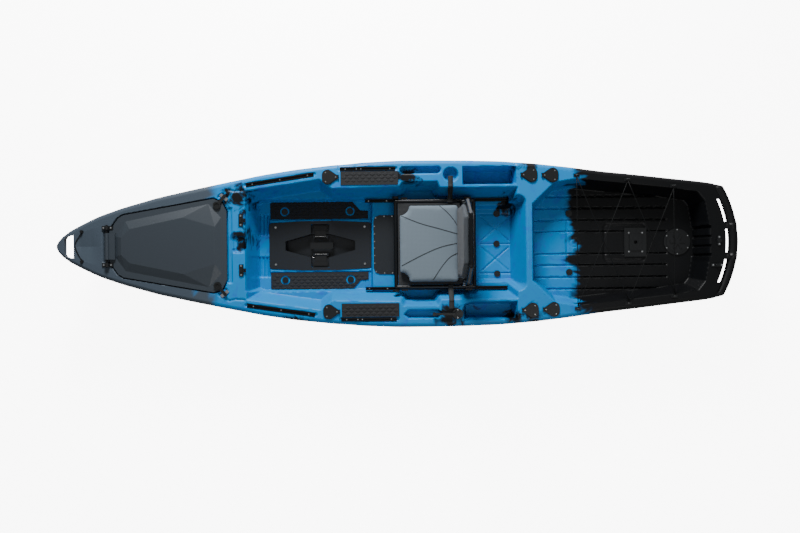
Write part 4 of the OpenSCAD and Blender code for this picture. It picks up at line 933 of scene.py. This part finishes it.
class BOAT_OT_fittings(bpy.types.Operator):
    """Finish the fittings of the deck, cockpit and seat frame"""
    bl_idname = "boat.fittings"
    bl_label = "Fittings"

    def execute(self, context):
        finish_nodes(context.scene.boat_sizes)
        return {"FINISHED"}


class BOAT_OT_studs(bpy.types.Operator):
    """Grow the diamond studs of the foam pads"""
    bl_idname = "boat.studs"
    bl_label = "Pad studs"

    def execute(self, context):
        make_studs(context.scene.boat_sizes.stud_pitch)
        return {"FINISHED"}


class BOAT_OT_seat(bpy.types.Operator):
    """Stuff the seat and hang its fabric"""
    bl_idname = "boat.seat"
    bl_label = "Seat"

    def execute(self, context):
        make_seat(context.scene.boat_sizes)
        return {"FINISHED"}


class BOAT_OT_cords(bpy.types.Operator):
    """Lay the cords"""
    bl_idname = "boat.cords"
    bl_label = "Cords"

    def execute(self, context):
        make_cords()
        return {"FINISHED"}


class BOAT_OT_stage(bpy.types.Operator):
    """Set the floor, the lights and the camera"""
    bl_idname = "boat.stage"
    bl_label = "Stage"

    def execute(self, context):
        make_stage()
        return {"FINISHED"}


OPERATORS = (BOAT_OT_materials, BOAT_OT_hull, BOAT_OT_fittings, BOAT_OT_studs, BOAT_OT_seat, BOAT_OT_cords,
             BOAT_OT_stage)


class BOAT_PT_panel(bpy.types.Panel):
    """Steps and settings of the pedal boat"""
    bl_idname = "BOAT_PT_panel"
    bl_label = "Pedal boat"
    bl_space_type = "VIEW_3D"
    bl_region_type = "UI"
    bl_category = "Pedal boat"

    def draw(self, context):
        for group in (context.scene.boat_colours, context.scene.boat_sizes):
            for key in group.__annotations__:
                self.layout.prop(group, key)
        for operator in OPERATORS:
            self.layout.operator(operator.bl_idname)


CLASSES = (BoatColours, BoatSizes, *OPERATORS, BOAT_PT_panel)


def register():
    for cls in CLASSES:
        bpy.utils.register_class(cls)
    bpy.types.Scene.boat_colours = bpy.props.PointerProperty(type=BoatColours)
    bpy.types.Scene.boat_sizes = bpy.props.PointerProperty(type=BoatSizes)


def unregister():
    del bpy.types.Scene.boat_sizes
    del bpy.types.Scene.boat_colours
    for cls in reversed(CLASSES):
        bpy.utils.unregister_class(cls)


def main():
    register()
    bpy.ops.boat.materials()
    bpy.ops.boat.hull()
    bpy.ops.boat.fittings()
    bpy.ops.boat.studs()
    bpy.ops.boat.seat()
    bpy.ops.boat.cords()
    bpy.ops.boat.stage()


if __name__ == "__main__":
    main()
